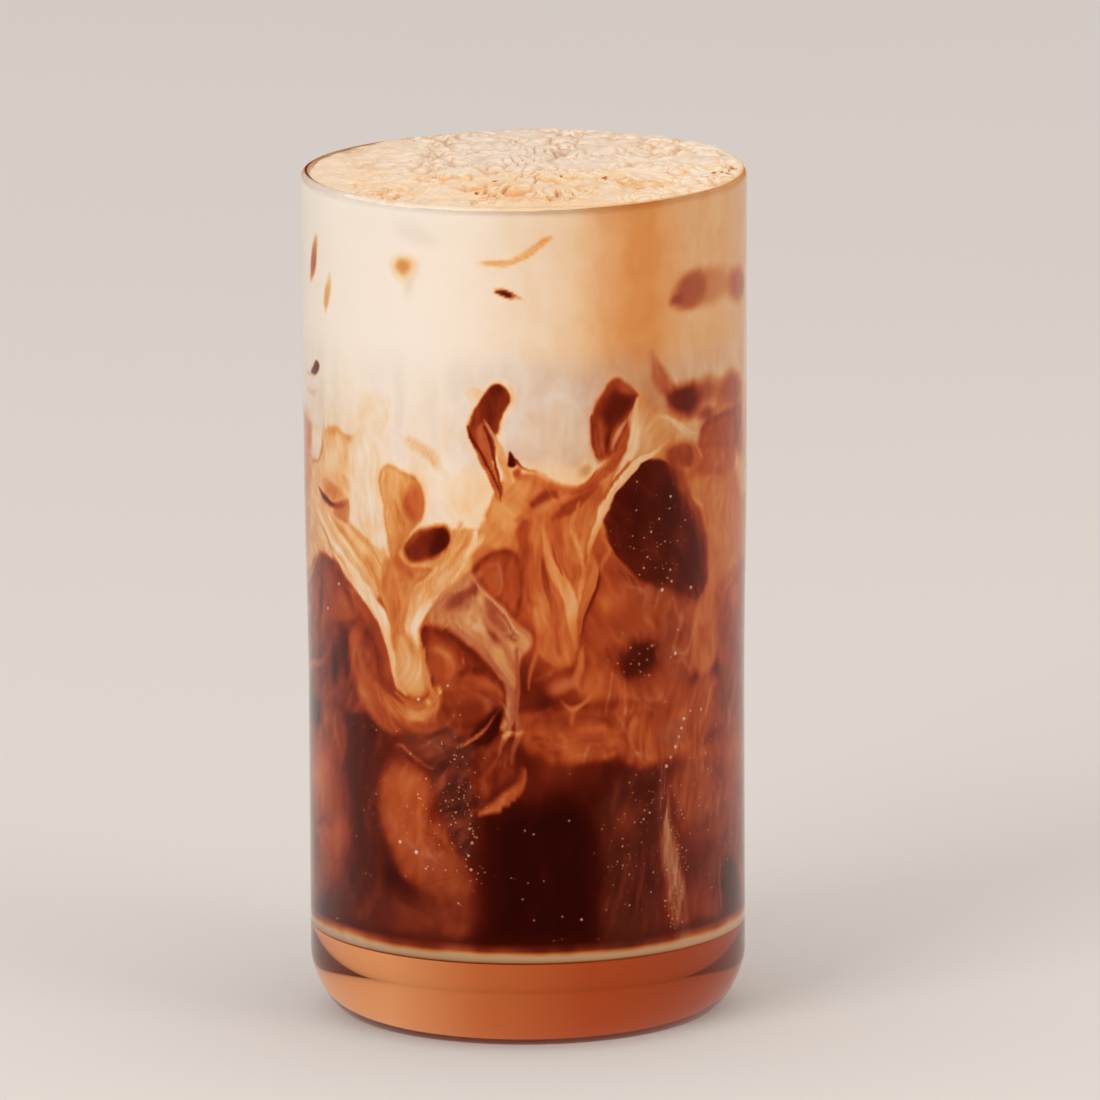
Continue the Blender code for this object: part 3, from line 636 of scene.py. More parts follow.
def paint_pocket(wall):
    """The dark pocket under the right arm, with a red ball in it and a black slit under it."""
    wall.shape([(-17.4, 71.2), (-16.4, 72.5), (-13.2, 72.0), (-10.2, 70.2), (-7.2, 67.6), (-4.8, 65.0),
            (-3.5, 61.8), (-3.7, 58.2), (-6.0, 56.0), (-9.0, 55.2), (-12.0, 55.4), (-14.4, 57.4),
            (-15.8, 61.0), (-16.9, 65.0), (-17.5, 68.4)], (0.19, 0.31), soft=0.6, depth=2.6, glow=0.35,
            silk=0.08, flow=-40)
    wall.shape([(-16.4, 70.0), (-13.6, 70.2), (-11.2, 68.2), (-10.0, 66.0), (-11.2, 63.8), (-13.6, 62.2),
            (-15.8, 63.6), (-16.9, 66.8)], (0.3, 0.42), soft=0.9, depth=1.6, glow=0.5)
    wall.ribbon([(-15.0, 69.0, 0.3, 0.46), (-13.4, 68.2, 0.5, 0.5), (-12.8, 66.0, 0.5, 0.5),
            (-13.6, 63.8, 0.3, 0.46)], soft=0.6, glow=0.5)
    wall.ribbon([(-10.9, 68.4, 0.1, 0.44), (-10.3, 67.0, 0.2, 0.5), (-10.2, 65.8, 0.1, 0.44)], glow=0.4)
    wall.ribbon([(-15.4, 61.6, 0.4, 0.44), (-12.6, 62.6, 1.0, 0.42), (-9.6, 63.4, 1.2, 0.40),
            (-6.8, 62.8, 1.1, 0.40), (-4.6, 61.0, 0.6, 0.36)], soft=0.9, glow=0.6)
    wall.ribbon([(-11.6, 65.0, 0.2, 0.3), (-8.8, 65.6, 0.4, 0.24), (-6.2, 64.8, 0.4, 0.22),
            (-4.4, 62.6, 0.2, 0.26)], soft=0.7, glow=0.3)
    wall.spot((-9.6, 58.6), (4.0, 2.2), 0.26, tilt=8, soft=0.8, glow=0.3)
    wall.shape([(-9.2, 54.0), (-7.4, 56.8), (-5.2, 58.4), (-4.0, 57.4), (-4.6, 54.6), (-6.2, 52.4),
            (-8.2, 52.2)], (0.15, 0.08), soft=1.1, depth=0.8)
    wall.ribbon([(-10.6, 52.2, 0.12, 0.44), (-9.4, 52.9, 0.28, 0.6), (-8.0, 54.0, 0.3, 0.6),
            (-6.8, 55.4, 0.22, 0.54), (-5.6, 57.0, 0.16, 0.46), (-4.8, 58.2, 0.08, 0.4)], soft=0.45,
            haze=0.15, cover=0.8)
    wall.ribbon([(-9.6, 52.8, 0.15, 0.5), (-11.4, 52.4, 0.2, 0.4), (-14.0, 53.2, 0.3, 0.3)], soft=0.4,
            haze=0.4)


def paint_left_window(wall):
    """The dark red window on the left, where ice lies behind thin coffee."""
    wall.shape([(-56, 76), (-50, 75), (-46.4, 78), (-43.4, 80.4), (-40, 80.9), (-36.6, 79.8), (-34.0, 77.4),
            (-32.4, 74.4), (-30.0, 71.6), (-27.8, 68.6), (-26.0, 65.0), (-25.6, 60.0), (-29, 55.6),
            (-36, 55.4), (-44, 57), (-56, 58)], (0.25, 0.28), soft=1.4, depth=2.2, glow=0.35, silk=0.07,
            flow=60)
    wall.shape([(-47.6, 72.6), (-45.4, 76.8), (-41.6, 79.6), (-37.4, 79.2), (-34.0, 76.2), (-31.6, 72.8),
            (-32.0, 70.8), (-36.0, 70.4), (-40.0, 68.6), (-44.0, 66.0), (-47.6, 68.0)], (0.26, 0.33),
            soft=0.9, glow=0.45, silk=0.03)
    # A painted highlight: the lighter red patch in the ice.
    wall.spot((-36.6, 73.0), (3.6, 2.6), 0.39, tilt=-25, soft=0.8, glow=0.6)
    wall.spot((-42.4, 69.4), (1.6, 3.4), 0.35, soft=0.8, glow=0.5)
    wall.ribbon([(-42.6, 76.6, 0.5, 0.22), (-43.8, 72.4, 0.8, 0.18), (-44.6, 67.4, 0.8, 0.2),
            (-45.0, 62.4, 0.5, 0.24)], soft=1.8, glow=0.2)
    wall.ribbon([(-30.2, 71.6, 0.2, 0.2), (-33.0, 70.6, 0.3, 0.22), (-36.4, 70.0, 0.3, 0.24),
            (-39.4, 68.6, 0.2, 0.26)], soft=1.0, glow=0.2, cover=0.8)
    wall.shape([(-36.8, 69.6), (-34.4, 69.2), (-33.4, 65.6), (-33.6, 61.6), (-36, 60), (-37.4, 64)],
            (0.2, 0.17), soft=1.8, glow=0.1)
    wall.spot((-38.5, 62.2), (1.3, 3.4), 0.09, soft=0.95)
    wall.ribbon([(-56, 58.6, 0.5, 0.44), (-50.6, 60.2, 0.7, 0.46), (-45.4, 61.8, 0.6, 0.42),
            (-41.0, 64.4, 0.4, 0.34), (-38.4, 66.8, 0.2, 0.26)], soft=0.9, haze=0.25, glow=0.4)
    wall.ribbon([(-56, 68.0, 0.8, 0.46), (-51.0, 69.6, 1.0, 0.42), (-47.8, 71.6, 0.6, 0.3)], soft=1.6,
            glow=0.5)
    wall.ribbon([(-56, 73.5, 0.6, 0.5), (-51.0, 75.4, 0.9, 0.5), (-47.2, 77.6, 0.7, 0.46),
            (-43.8, 80.6, 0.5, 0.5)], soft=(1.0, 0.5), glow=0.3, haze=0.2)


def paint_left_cream(wall):
    """The pale curtain at the upper left and the light strands that run out of it."""
    wall.shape([(-58, 102), (-50, 102.6), (-41, 102.4), (-34, 102.6), (-30, 99), (-27, 92), (-24.6, 85),
            (-23.4, 79), (-27, 75.4), (-31.6, 76.8), (-35.6, 80.4), (-41, 81.2), (-46, 79.6), (-50, 77),
            (-58, 78)], (0.66, 0.73), soft=0.9, silk=0.07, flow=-38)
    wall.shape([(-58, 102.6), (-52, 103), (-46.4, 102.4), (-46.6, 98), (-48, 93), (-49, 86), (-51, 78),
            (-58, 77)], (0.58, 0.52), soft=4.0, depth=3.0, glow=0.4, silk=0.05, flow=10)
    wall.shape([(-47, 99.6), (-45.4, 102.6), (-41.6, 103.4), (-41.0, 100.4), (-43.2, 97.2), (-46.4, 96.4)],
            (0.84, 0.87), soft=1.8, haze=0.2)
    wall.ribbon([(-40.6, 104.6, 0.4, 0.84), (-40.6, 101.8, 0.35, 0.7), (-41.4, 99.4, 0.4, 0.6),
            (-43.4, 96.8, 0.35, 0.6), (-46.4, 95.2, 0.2, 0.62)], soft=(0.5, 0.6), haze=0.35)
    wall.shape([(-40, 102.4), (-36.4, 103.4), (-33.6, 101.6), (-35, 97.6), (-39, 94.6), (-41.4, 95.6),
            (-41, 99)], (0.72, 0.76), soft=1.8, flow=-60, silk=0.06)
    wall.spot((-37.0, 102.8), (1.6, 0.9), 0.62, tilt=20, soft=0.7)
    wall.spot((-38.6, 97.2), (2.4, 1.4), 0.83, tilt=40, soft=0.9)
    wall.shape([(-33.0, 101.6), (-29.6, 104.6), (-26.4, 101), (-26.2, 96), (-25.2, 90), (-24.7, 85.0),
            (-26.4, 84.4), (-29.6, 85.8), (-32.6, 87.8), (-33.2, 92), (-33.6, 97)], (0.84, 0.87), soft=1.4,
            depth=1.4, haze=0.1, silk=0.05, flow=-75)
    wall.shape([(-30.6, 110.4), (-25.4, 110.6), (-24.6, 107.0), (-25.2, 103.2), (-29.6, 104.4),
            (-31.0, 107)], (0.87, 0.86), soft=1.8, haze=0.1, cover=0.7)
    wall.ribbon([(-24.0, 110.0, 0.2, 0.88), (-24.2, 107.8, 0.5, 0.82), (-24.8, 104.8, 0.3, 0.86)], soft=0.8,
            cover=0.7)
    wall.ribbon([(-22.8, 104.2, 0.3, 0.9), (-19.6, 103.4, 0.9, 0.82), (-16.4, 101.4, 0.9, 0.78),
            (-14.0, 99.0, 0.5, 0.8), (-12.6, 97.6, 0.2, 0.88)], soft=0.9, haze=0.15)
    for strand in ([(-49, 88.4, 0.5, 0.68), (-45.0, 87.8, 0.9, 0.76), (-41.0, 85.6, 0.8, 0.82),
                    (-37.4, 82.8, 0.9, 0.84), (-33.6, 79.6, 1.2, 0.85), (-30.0, 76.8, 1.4, 0.87),
                    (-27.4, 74.2, 1.4, 0.85), (-25.4, 71.4, 1.2, 0.83), (-24.3, 68.0, 1.1, 0.80),
                    (-23.4, 64.6, 1.0, 0.76), (-22.4, 61.8, 0.8, 0.72), (-21.0, 60.0, 0.4, 0.66)],
                   [(-42.0, 86.8, 0.1, 0.8), (-37.6, 83.8, 0.25, 0.9), (-33.4, 80.4, 0.3, 0.9),
                    (-29.6, 77.6, 0.3, 0.88), (-26.6, 74.6, 0.15, 0.86)], [(-44.4, 86.8, 0.2, 0.66),
            (-41.0, 85.0, 0.35, 0.6), (-37.4, 82.2, 0.3, 0.62), (-34.4, 80.2, 0.15, 0.7)],
                   [(-40.4, 88.6, 0.3, 0.78), (-37.6, 86.4, 0.6, 0.82), (-34.6, 84.0, 0.5, 0.8),
                    (-31.6, 81.6, 0.4, 0.78), (-28.6, 79.0, 0.3, 0.76)], [(-38.0, 88.2, 0.3, 0.66),
            (-34.6, 85.8, 0.5, 0.62), (-31.2, 83.2, 0.6, 0.62), (-28.0, 80.6, 0.7, 0.64),
            (-25.6, 77.6, 0.8, 0.64), (-24.0, 74.0, 0.8, 0.62), (-23.0, 70.4, 0.6, 0.62)],
                   [(-32.6, 87.4, 0.4, 0.68), (-29.4, 85.2, 0.6, 0.66), (-26.6, 83.4, 0.7, 0.7),
                    (-24.6, 80.6, 0.7, 0.66), (-23.4, 77.0, 0.8, 0.62), (-22.6, 73.0, 1.0, 0.62),
                    (-22.0, 69.0, 1.0, 0.64), (-21.6, 65.0, 0.8, 0.66)], [(-48.6, 82.6, 0.8, 0.66),
            (-45.0, 83.6, 1.3, 0.7), (-41.4, 82.6, 1.0, 0.72), (-38.4, 81.0, 0.5, 0.72)],):
        wall.ribbon(strand, soft=(0.6, 0.5), lean=0.02, silk=0.07)
    wall.shape([(-41.4, 93.6), (-39.4, 94.4), (-36.8, 93.6), (-35.0, 92.0), (-37.0, 91.2), (-40, 91.6)],
            (0.64, 0.6), soft=0.7, glow=0.2)
    wall.shape([(-36.6, 90.4), (-34.0, 91.8), (-33.1, 90.4), (-33.1, 87.6), (-35.0, 87.8), (-37.6, 88.8)],
            (0.56, 0.52), soft=0.8, glow=0.1, haze=0.15)
    wall.ribbon([(-42.8, 92.0, 0.25, 0.34), (-41.2, 91.4, 0.55, 0.12), (-39.8, 90.8, 0.6, 0.1),
            (-38.4, 90.5, 0.5, 0.2), (-36.8, 90.5, 0.6, 0.34), (-35.2, 90.8, 0.6, 0.38),
            (-33.8, 91.4, 0.25, 0.5)], soft=(0.5, 0.9), haze=0.12)
    wall.ribbon([(-33.6, 91.6, 0.3, 0.56), (-33.1, 90.2, 0.3, 0.6), (-33.0, 87.8, 0.2, 0.68)], soft=0.4,
            haze=0.3)


def paint_right_arm(wall):
    """The V between the two arms, the right arm itself, and the gold where they meet."""
    wall.shape([(-25.4, 80.4), (-22.4, 84.6), (-17.6, 84.4), (-13.0, 83.6), (-14.6, 80.4), (-18.0, 78.0),
            (-20.4, 75.6), (-20.6, 71), (-19.4, 66), (-21, 62), (-23.4, 66), (-24.4, 72)], (0.55, 0.54),
            soft=0.9, glow=0.25, silk=0.1, flow=76)
    wall.shape([(-23.8, 84.4), (-21.6, 84.8), (-19.8, 83.0), (-16.8, 83.2), (-14.6, 82.6), (-17.0, 80.4),
            (-20.0, 79.4), (-22.4, 80.6)], (0.5, 0.46), soft=0.8, glow=0.35)
    wall.ribbon([(-23.9, 86.6, 0.2, 0.6), (-23.4, 83.4, 0.4, 0.56), (-22.4, 79.6, 0.5, 0.54),
            (-21.6, 75.4, 0.6, 0.58), (-21.4, 71.0, 0.6, 0.6)], soft=0.5, glow=0.2)
    wall.ribbon([(-20.2, 82.4, 0.3, 0.5), (-18.6, 81.0, 0.4, 0.56), (-16.6, 81.4, 0.25, 0.56)], soft=0.4,
            glow=0.3)
    wall.shape([(-12.6, 88.0), (-9.8, 89.0), (-6.8, 88.2), (-8.2, 85.0), (-9.0, 81.8), (-11.6, 79.4),
            (-14.2, 77.4), (-17.4, 75.2), (-17.6, 72.0), (-17.4, 68.0), (-17.2, 64.0), (-19.2, 62.0),
            (-20.2, 66.0), (-20.8, 71.0), (-20.6, 75.4), (-18.4, 78.6), (-14.8, 82.0), (-12.4, 85.0)],
            (0.64, 0.70), soft=0.5, depth=1.0, silk=0.1, flow=58)
    for strand in ([(-10.8, 90.0, 0.4, 0.74), (-11.4, 86.8, 0.5, 0.7), (-13.2, 83.8, 0.5, 0.7),
                    (-16.2, 80.8, 0.5, 0.7), (-18.9, 78.0, 0.6, 0.66), (-20.0, 75.4, 0.6, 0.72),
                    (-20.1, 72.4, 0.5, 0.76), (-19.7, 69.0, 0.6, 0.76), (-19.0, 65.6, 0.6, 0.74),
                    (-18.6, 62.6, 0.4, 0.7)], [(-9.4, 88.6, 0.3, 0.66), (-10.2, 85.6, 0.45, 0.62),
            (-12.4, 82.8, 0.5, 0.66), (-15.2, 80.0, 0.4, 0.68), (-17.6, 77.6, 0.3, 0.7)],
                   [(-8.4, 88.4, 0.4, 0.86), (-9.0, 85.0, 0.5, 0.82), (-10.6, 82.0, 0.4, 0.78),
                    (-13.4, 79.2, 0.4, 0.76), (-16.0, 76.8, 0.5, 0.8), (-18.0, 74.2, 0.9, 0.83),
                    (-18.8, 71.0, 0.8, 0.85), (-18.6, 67.0, 0.5, 0.8)], [(-11.8, 81.0, 0.15, 0.7),
            (-13.8, 79.0, 0.2, 0.68), (-16.2, 77.0, 0.12, 0.74)], [(-9.9, 84.6, 0.3, 0.72),
            (-11.4, 82.0, 0.4, 0.7), (-14.0, 79.8, 0.25, 0.74)],):
        wall.ribbon(strand, soft=0.5, silk=0.07)
    wall.shape([(-23.6, 66.0), (-22.6, 62.6), (-20.8, 60.0), (-18.6, 59.4), (-17.0, 61.0), (-16.9, 64.6),
            (-18.2, 68.0), (-20.0, 70.0), (-22.4, 69.6)], (0.64, 0.68), soft=1.6, silk=0.07, flow=80)


def paint_arm_tip(wall):
    """The bowl that the two arms pour into, gold above and red below."""
    wall.ribbon([(-31.4, 70.4, 0.7, 0.36), (-32.0, 66.8, 1.4, 0.4), (-31.4, 63.0, 2.0, 0.42),
            (-29.2, 59.2, 2.4, 0.43), (-26.0, 56.2, 2.2, 0.43), (-22.4, 54.6, 1.4, 0.4),
            (-18.6, 54.4, 0.8, 0.42), (-15.6, 55.8, 0.8, 0.38)], soft=(1.6, 1.8), glow=0.6, silk=0.08)
    wall.ribbon([(-27.6, 66.6, 0.3, 0.22), (-26.9, 64.0, 0.4, 0.22), (-25.6, 61.4, 0.35, 0.26),
            (-24.0, 59.6, 0.15, 0.36)], soft=(0.8, 0.2), glow=0.3)
    wall.spot((-31.8, 67.6), (1.7, 1.9), 0.46, soft=0.6, glow=0.7)
    wall.spot((-29.6, 66.8), (1.4, 1.6), 0.3, soft=0.8, glow=0.4)
    wall.ribbon([(-27.4, 61.0, 0.5, 0.42), (-25.2, 58.6, 1.1, 0.48), (-22.6, 57.2, 1.3, 0.52),
            (-19.6, 56.6, 1.5, 0.56), (-16.8, 57.8, 1.2, 0.54), (-15.2, 60.4, 0.6, 0.48)], soft=(1.2, 1.4),
            glow=0.3, silk=0.08)
    wall.ribbon([(-23.0, 57.4, 0.2, 0.52), (-20.8, 56.4, 0.7, 0.62), (-18.4, 56.5, 0.7, 0.64),
            (-16.6, 57.8, 0.3, 0.56)], soft=0.6, glow=0.1)
    wall.ribbon([(-23.0, 60.0, 0.2, 0.56), (-20.8, 58.6, 0.3, 0.52), (-18.0, 58.6, 0.3, 0.52),
            (-16.0, 60.4, 0.2, 0.52)], soft=0.6, glow=0.3)
    wall.ribbon([(-17.2, 68.0, 0.2, 0.62), (-17.2, 65.0, 0.45, 0.6), (-16.4, 62.0, 0.5, 0.58),
            (-15.6, 59.8, 0.4, 0.54)], soft=(0.3, 0.5), glow=0.2)
    wall.spot((-16.9, 58.9), (0.5, 0.4), 0.74, soft=0.6)
    wall.spot((-14.7, 61.1), (0.4, 0.5), 0.72, soft=0.6)
    wall.ribbon([(-23.2, 51.0, 0.1, 0.36), (-22.0, 51.2, 0.3, 0.46), (-20.6, 50.6, 0.3, 0.44),
            (-18.8, 49.6, 0.22, 0.42), (-16.8, 48.6, 0.25, 0.4), (-14.8, 48.2, 0.12, 0.34)], soft=0.5,
            haze=0.25, cover=0.75)
    wall.shape([(-22, 54.0), (-17.6, 54.2), (-13.0, 55.0), (-11.4, 52.4), (-15.0, 49.6), (-20.0, 50.8)],
            (0.22, 0.28), soft=1.2, haze=0.4, silk=0.08, flow=10, cover=0.8)


def paint_teardrop(wall):
    """A tan teardrop in the white milk, and the dark oval that touches it."""
    wall.shape([(-26.7, 96.6), (-25.2, 99.2), (-22.6, 99.6), (-19.6, 98.8), (-17.0, 97.4), (-15.8, 94.6),
            (-15.9, 91.4), (-17.2, 88.8), (-20.6, 86.2), (-23.4, 83.2), (-25.0, 85.6), (-25.6, 90.4)],
            (0.88, 0.87), soft=1.4, depth=0.5)
    wall.shape([(-26.1, 96.6), (-24.8, 98.3), (-22.8, 98.7), (-20.2, 97.6), (-18.1, 96.6), (-16.9, 94.4),
            (-16.9, 91.8), (-18.0, 89.6), (-20.2, 87.2), (-21.8, 85.0), (-23.0, 82.8), (-24.0, 85.8),
            (-24.6, 89.0), (-25.4, 93.0)], (0.62, 0.63), slope=(-0.02, 0.008), silk=0.06, flow=-75,
            rim=(0.46, 0.34, 0.55))
    wall.shape([(-20.8, 93.6), (-18.6, 96.0), (-17.2, 94.0), (-17.2, 91.6), (-18.4, 89.8), (-20.8, 91.2)],
            (0.52, 0.47), soft=1.2, depth=1.0, glow=0.2)
    wall.ribbon([(-24.6, 97.4, 0.4, 0.66), (-24.8, 94.0, 0.7, 0.68), (-24.4, 90.4, 0.5, 0.66),
            (-23.8, 87.0, 0.3, 0.64)], soft=0.6)
    wall.ribbon([(-22.6, 92.6, 0.2, 0.58), (-21.6, 90.4, 0.5, 0.54), (-20.6, 88.4, 0.5, 0.54),
            (-21.6, 86.0, 0.3, 0.56)], soft=0.6, glow=0.2)
    wall.shape([(-22.0, 84.2), (-20.6, 86.6), (-18.0, 88.6), (-15.0, 89.8), (-12.8, 89.4), (-11.9, 87.6),
            (-12.8, 85.0), (-15.4, 82.8), (-18.6, 82.2), (-21.0, 82.6)], (0.68, 0.62), soft=0.6, depth=1.0)
    wall.shape([(-21.3, 84.8), (-19.8, 86.6), (-17.6, 88.0), (-15.2, 89.1), (-13.4, 88.9), (-12.6, 87.4),
            (-13.4, 85.4), (-15.4, 84.2), (-18.0, 83.2), (-20.2, 83.4)], (0.2, 0.17), soft=0.6, depth=1.2,
            slope=(-0.02, 0.0), rim=(0.3, 0.3, 0.5))
    wall.ribbon([(-20.8, 85.4, 0.3, 0.3), (-18.8, 87.0, 0.5, 0.3), (-16.8, 88.2, 0.3, 0.24)],
            soft=(0.5, 0.6), glow=0.3)


def paint_drops(wall):
    """Two dark drops of coffee that rise into the milk, with their tails."""
    wall.shape([(-5.6, 112), (-4.0, 118.4), (-0.4, 117.6), (0.6, 112), (-1.2, 106.4), (-3.6, 103)],
            (0.93, 0.88), soft=2.0, haze=0.6, cover=0.8)
    wall.shape([(-9.6, 106.4), (-8.8, 109.6), (-9.6, 111.8), (-8.2, 113.4), (-6.4, 113), (-5.0, 115),
            (-3.6, 115.2), (-1.6, 113.8), (-1.2, 111.4), (-3.0, 107.4), (-3.4, 103.6), (-5.8, 100.6),
            (-8.6, 103.2)], (0.84, 0.8), soft=0.8, depth=0.4, cover=0.8)
    wall.shape([(-8.9, 106.4), (-8.2, 109.2), (-6.8, 111.9), (-5.4, 113.8), (-4.3, 114.3), (-2.8, 113.4),
            (-2.2, 111.7), (-3.0, 109.6), (-3.8, 107.4), (-4.2, 105.4), (-4.8, 105.0), (-5.2, 102.6),
            (-6.2, 101.2), (-7.4, 102.8), (-8.8, 104.6)], (0.26, 0.22), soft=0.6, depth=1.2,
            slope=(0.006, -0.012), silk=0.05)
    wall.shape([(-8.2, 104.8), (-7.8, 107.0), (-6.6, 107.4), (-5.6, 105.2), (-4.8, 102.6), (-5.4, 101.0),
            (-7.2, 102.6)], (0.3, 0.4), soft=0.6, depth=0.8, glow=0.3, haze=0.1)
    wall.ribbon([(-8.0, 103.6, 0.6, 0.38), (-6.6, 101.2, 0.9, 0.42), (-5.4, 98.8, 0.9, 0.44),
            (-4.5, 96.6, 0.8, 0.48), (-3.9, 94.6, 0.5, 0.54)], glow=0.25, silk=0.06)
    wall.ribbon([(-8.95, 106.6, 0.15, 0.2), (-8.7, 104.6, 0.25, 0.16), (-7.3, 102.2, 0.25, 0.16),
            (-6.0, 99.9, 0.24, 0.18), (-4.9, 97.8, 0.22, 0.2), (-4.0, 95.8, 0.18, 0.26),
            (-3.5, 94.0, 0.1, 0.4)], soft=(0.2, 0.3), glow=0.1)
    wall.ribbon([(-6.4, 106.6, 0.2, 0.2), (-5.8, 104.2, 0.25, 0.18), (-5.0, 101.4, 0.25, 0.18),
            (-4.4, 98.8, 0.22, 0.22), (-3.8, 96.6, 0.2, 0.28), (-3.4, 94.6, 0.1, 0.42)], soft=0.25,
            glow=0.1)
    wall.ribbon([(-6.6, 108.0, 0.1, 0.4), (-6.0, 106.8, 0.25, 0.54), (-5.3, 105.2, 0.3, 0.62),
            (-4.7, 103.4, 0.3, 0.68), (-4.2, 101.6, 0.15, 0.66)], soft=0.25, haze=0.25)
    wall.shape([(-5.1, 104.4), (-4.0, 103.2), (-3.2, 101.8), (-2.2, 100.4), (-0.8, 99.0), (-1.4, 97.2),
            (-3.2, 96.0), (-3.6, 98.8), (-4.4, 101.4)], (0.64, 0.62), soft=0.5, silk=0.07, flow=-60)
    wall.shape([(-2.7, 102.3), (-2.1, 102.0), (-1.7, 101.1), (-1.6, 100.4), (-2.2, 100.2), (-2.9, 100.6)],
            (0.16, 0.06), depth=0.4)
    wall.ribbon([(-1.7, 101.0, 0.25, 0.2), (-1.0, 100.1, 0.2, 0.34), (0.0, 99.3, 0.15, 0.46),
            (2.0, 98.5, 0.15, 0.52), (4.2, 97.5, 0.15, 0.5), (5.2, 96.6, 0.2, 0.5), (7.2, 96.6, 0.15, 0.54),
            (9.0, 95.8, 0.1, 0.5)], soft=(0.25, 0.5), glow=0.2)
    wall.spot((-1.2, 99.0), (0.6, 1.0), 0.36, tilt=20, soft=0.6, glow=0.2)
    wall.spot((6.6, 98.2), (4.6, 1.4), 0.84, tilt=-4, soft=0.8, cover=0.6)
    wall.spot((9.6, 99.0), (1.0, 0.7), 0.66, tilt=20, soft=0.8, haze=0.3)
    wall.shape([(10.4, 107), (11.4, 110.2), (12.9, 112.2), (14.6, 114.4), (15.9, 114.2), (17.2, 112.8),
            (18.6, 112.4), (20.0, 110.9), (19.2, 109.0), (18.2, 107.8), (18.4, 105.2), (17.8, 102.6),
            (16.2, 101.0), (14, 100.2), (11.8, 99.8), (10.6, 102.3), (10.2, 105)], (0.7, 0.6), soft=1.0,
            depth=0.5, haze=0.25)
    wall.shape([(10.7, 107), (11.7, 109.9), (13.2, 111.8), (14.6, 113.6), (15.8, 113.6), (17.0, 112.2),
            (18.6, 111.9), (19.5, 110.8), (18.6, 109.3), (17.4, 108.0), (17.7, 105.5), (17.4, 103.2),
            (16.0, 101.6), (14.0, 100.8), (12.1, 100.5), (11.1, 102.4), (10.6, 105.0)], (0.34, 0.30),
            soft=0.7, depth=1.0, glow=0.25, slope=(0.0, -0.004), silk=0.05)
    wall.shape([(12.2, 108.2), (13.4, 110.4), (15.0, 112.0), (16.4, 111.2), (18.8, 110.9), (18.6, 109.6),
            (17.0, 108.2), (15.8, 106.6), (14.4, 105.0), (13.2, 106.0)], (0.22, 0.17), soft=1.2, depth=1.4)
    wall.spot((17.0, 112.0), (1.3, 0.8), 0.36, tilt=-20, soft=0.6, haze=0.2, glow=0.3)
    wall.ribbon([(10.9, 108.0, 0.15, 0.28), (10.8, 105.4, 0.22, 0.26), (11.1, 102.8, 0.25, 0.26),
            (11.8, 100.8, 0.2, 0.3)], glow=0.1)
    wall.ribbon([(11.9, 106.8, 0.2, 0.36), (12.4, 104.2, 0.3, 0.4), (12.9, 101.8, 0.2, 0.4)], glow=0.3,
            haze=0.15)
    wall.ribbon([(13.8, 106.4, 0.3, 0.2), (13.8, 104.0, 0.45, 0.16), (13.4, 102.0, 0.3, 0.22)], soft=0.5,
            glow=0.2)
    wall.ribbon([(17.1, 107.4, 0.15, 0.5), (16.4, 106.2, 0.32, 0.58), (15.6, 104.8, 0.36, 0.58),
            (14.9, 103.4, 0.3, 0.52), (14.6, 102.2, 0.15, 0.44)], haze=0.35, glow=0.2)
    wall.ribbon([(17.2, 104.6, 0.4, 0.36), (16.6, 102.8, 0.6, 0.4), (15.4, 100.8, 0.9, 0.42),
            (13.6, 98.8, 1.0, 0.42), (11.6, 97.4, 1.0, 0.42), (9.6, 96.2, 0.9, 0.42),
            (7.6, 95.2, 0.6, 0.44)], soft=(0.6, 0.5), glow=0.35, silk=0.06)
    wall.ribbon([(14.8, 101.6, 0.2, 0.44), (13.0, 99.6, 0.25, 0.54), (11.6, 98.0, 0.2, 0.52),
            (10.0, 96.8, 0.1, 0.5)], glow=0.3)


def paint_streamer(wall):
    """The crisp cream streamer along the upper left edge of the big dark oval."""
    wall.ribbon([(19.4, 110.4, 0.3, 0.76), (18.8, 107.6, 0.7, 0.76), (18.6, 104.6, 0.8, 0.78),
            (18.0, 102.0, 0.9, 0.8), (16.8, 99.6, 0.8, 0.78), (15.4, 97.4, 0.5, 0.72)], soft=(0.8, 0.5),
            haze=0.1)
    wall.ribbon([(17.4, 99.4, 0.3, 0.5), (15.8, 97.2, 0.5, 0.48), (14.2, 95.0, 0.6, 0.46),
            (12.4, 92.6, 0.6, 0.46), (11.0, 90.0, 0.5, 0.48), (10.0, 87.4, 0.3, 0.5)], soft=(0.6, 0.3),
            glow=0.3)
    wall.ribbon([(26.2, 102.6, 0.1, 0.6), (24.0, 101.9, 0.3, 0.7), (21.6, 100.9, 0.5, 0.78),
            (19.6, 99.9, 0.65, 0.8), (17.9, 98.4, 0.75, 0.8), (16.4, 96.5, 0.75, 0.8),
            (15.0, 94.6, 0.7, 0.76), (13.8, 92.9, 0.7, 0.72), (12.6, 91.2, 0.7, 0.72),
            (11.8, 89.4, 0.6, 0.72), (11.0, 87.4, 0.5, 0.68), (10.4, 85.2, 0.35, 0.6),
            (10.2, 83.4, 0.15, 0.54)], soft=(0.35, 0.2), lean=-0.02, silk=0.04)


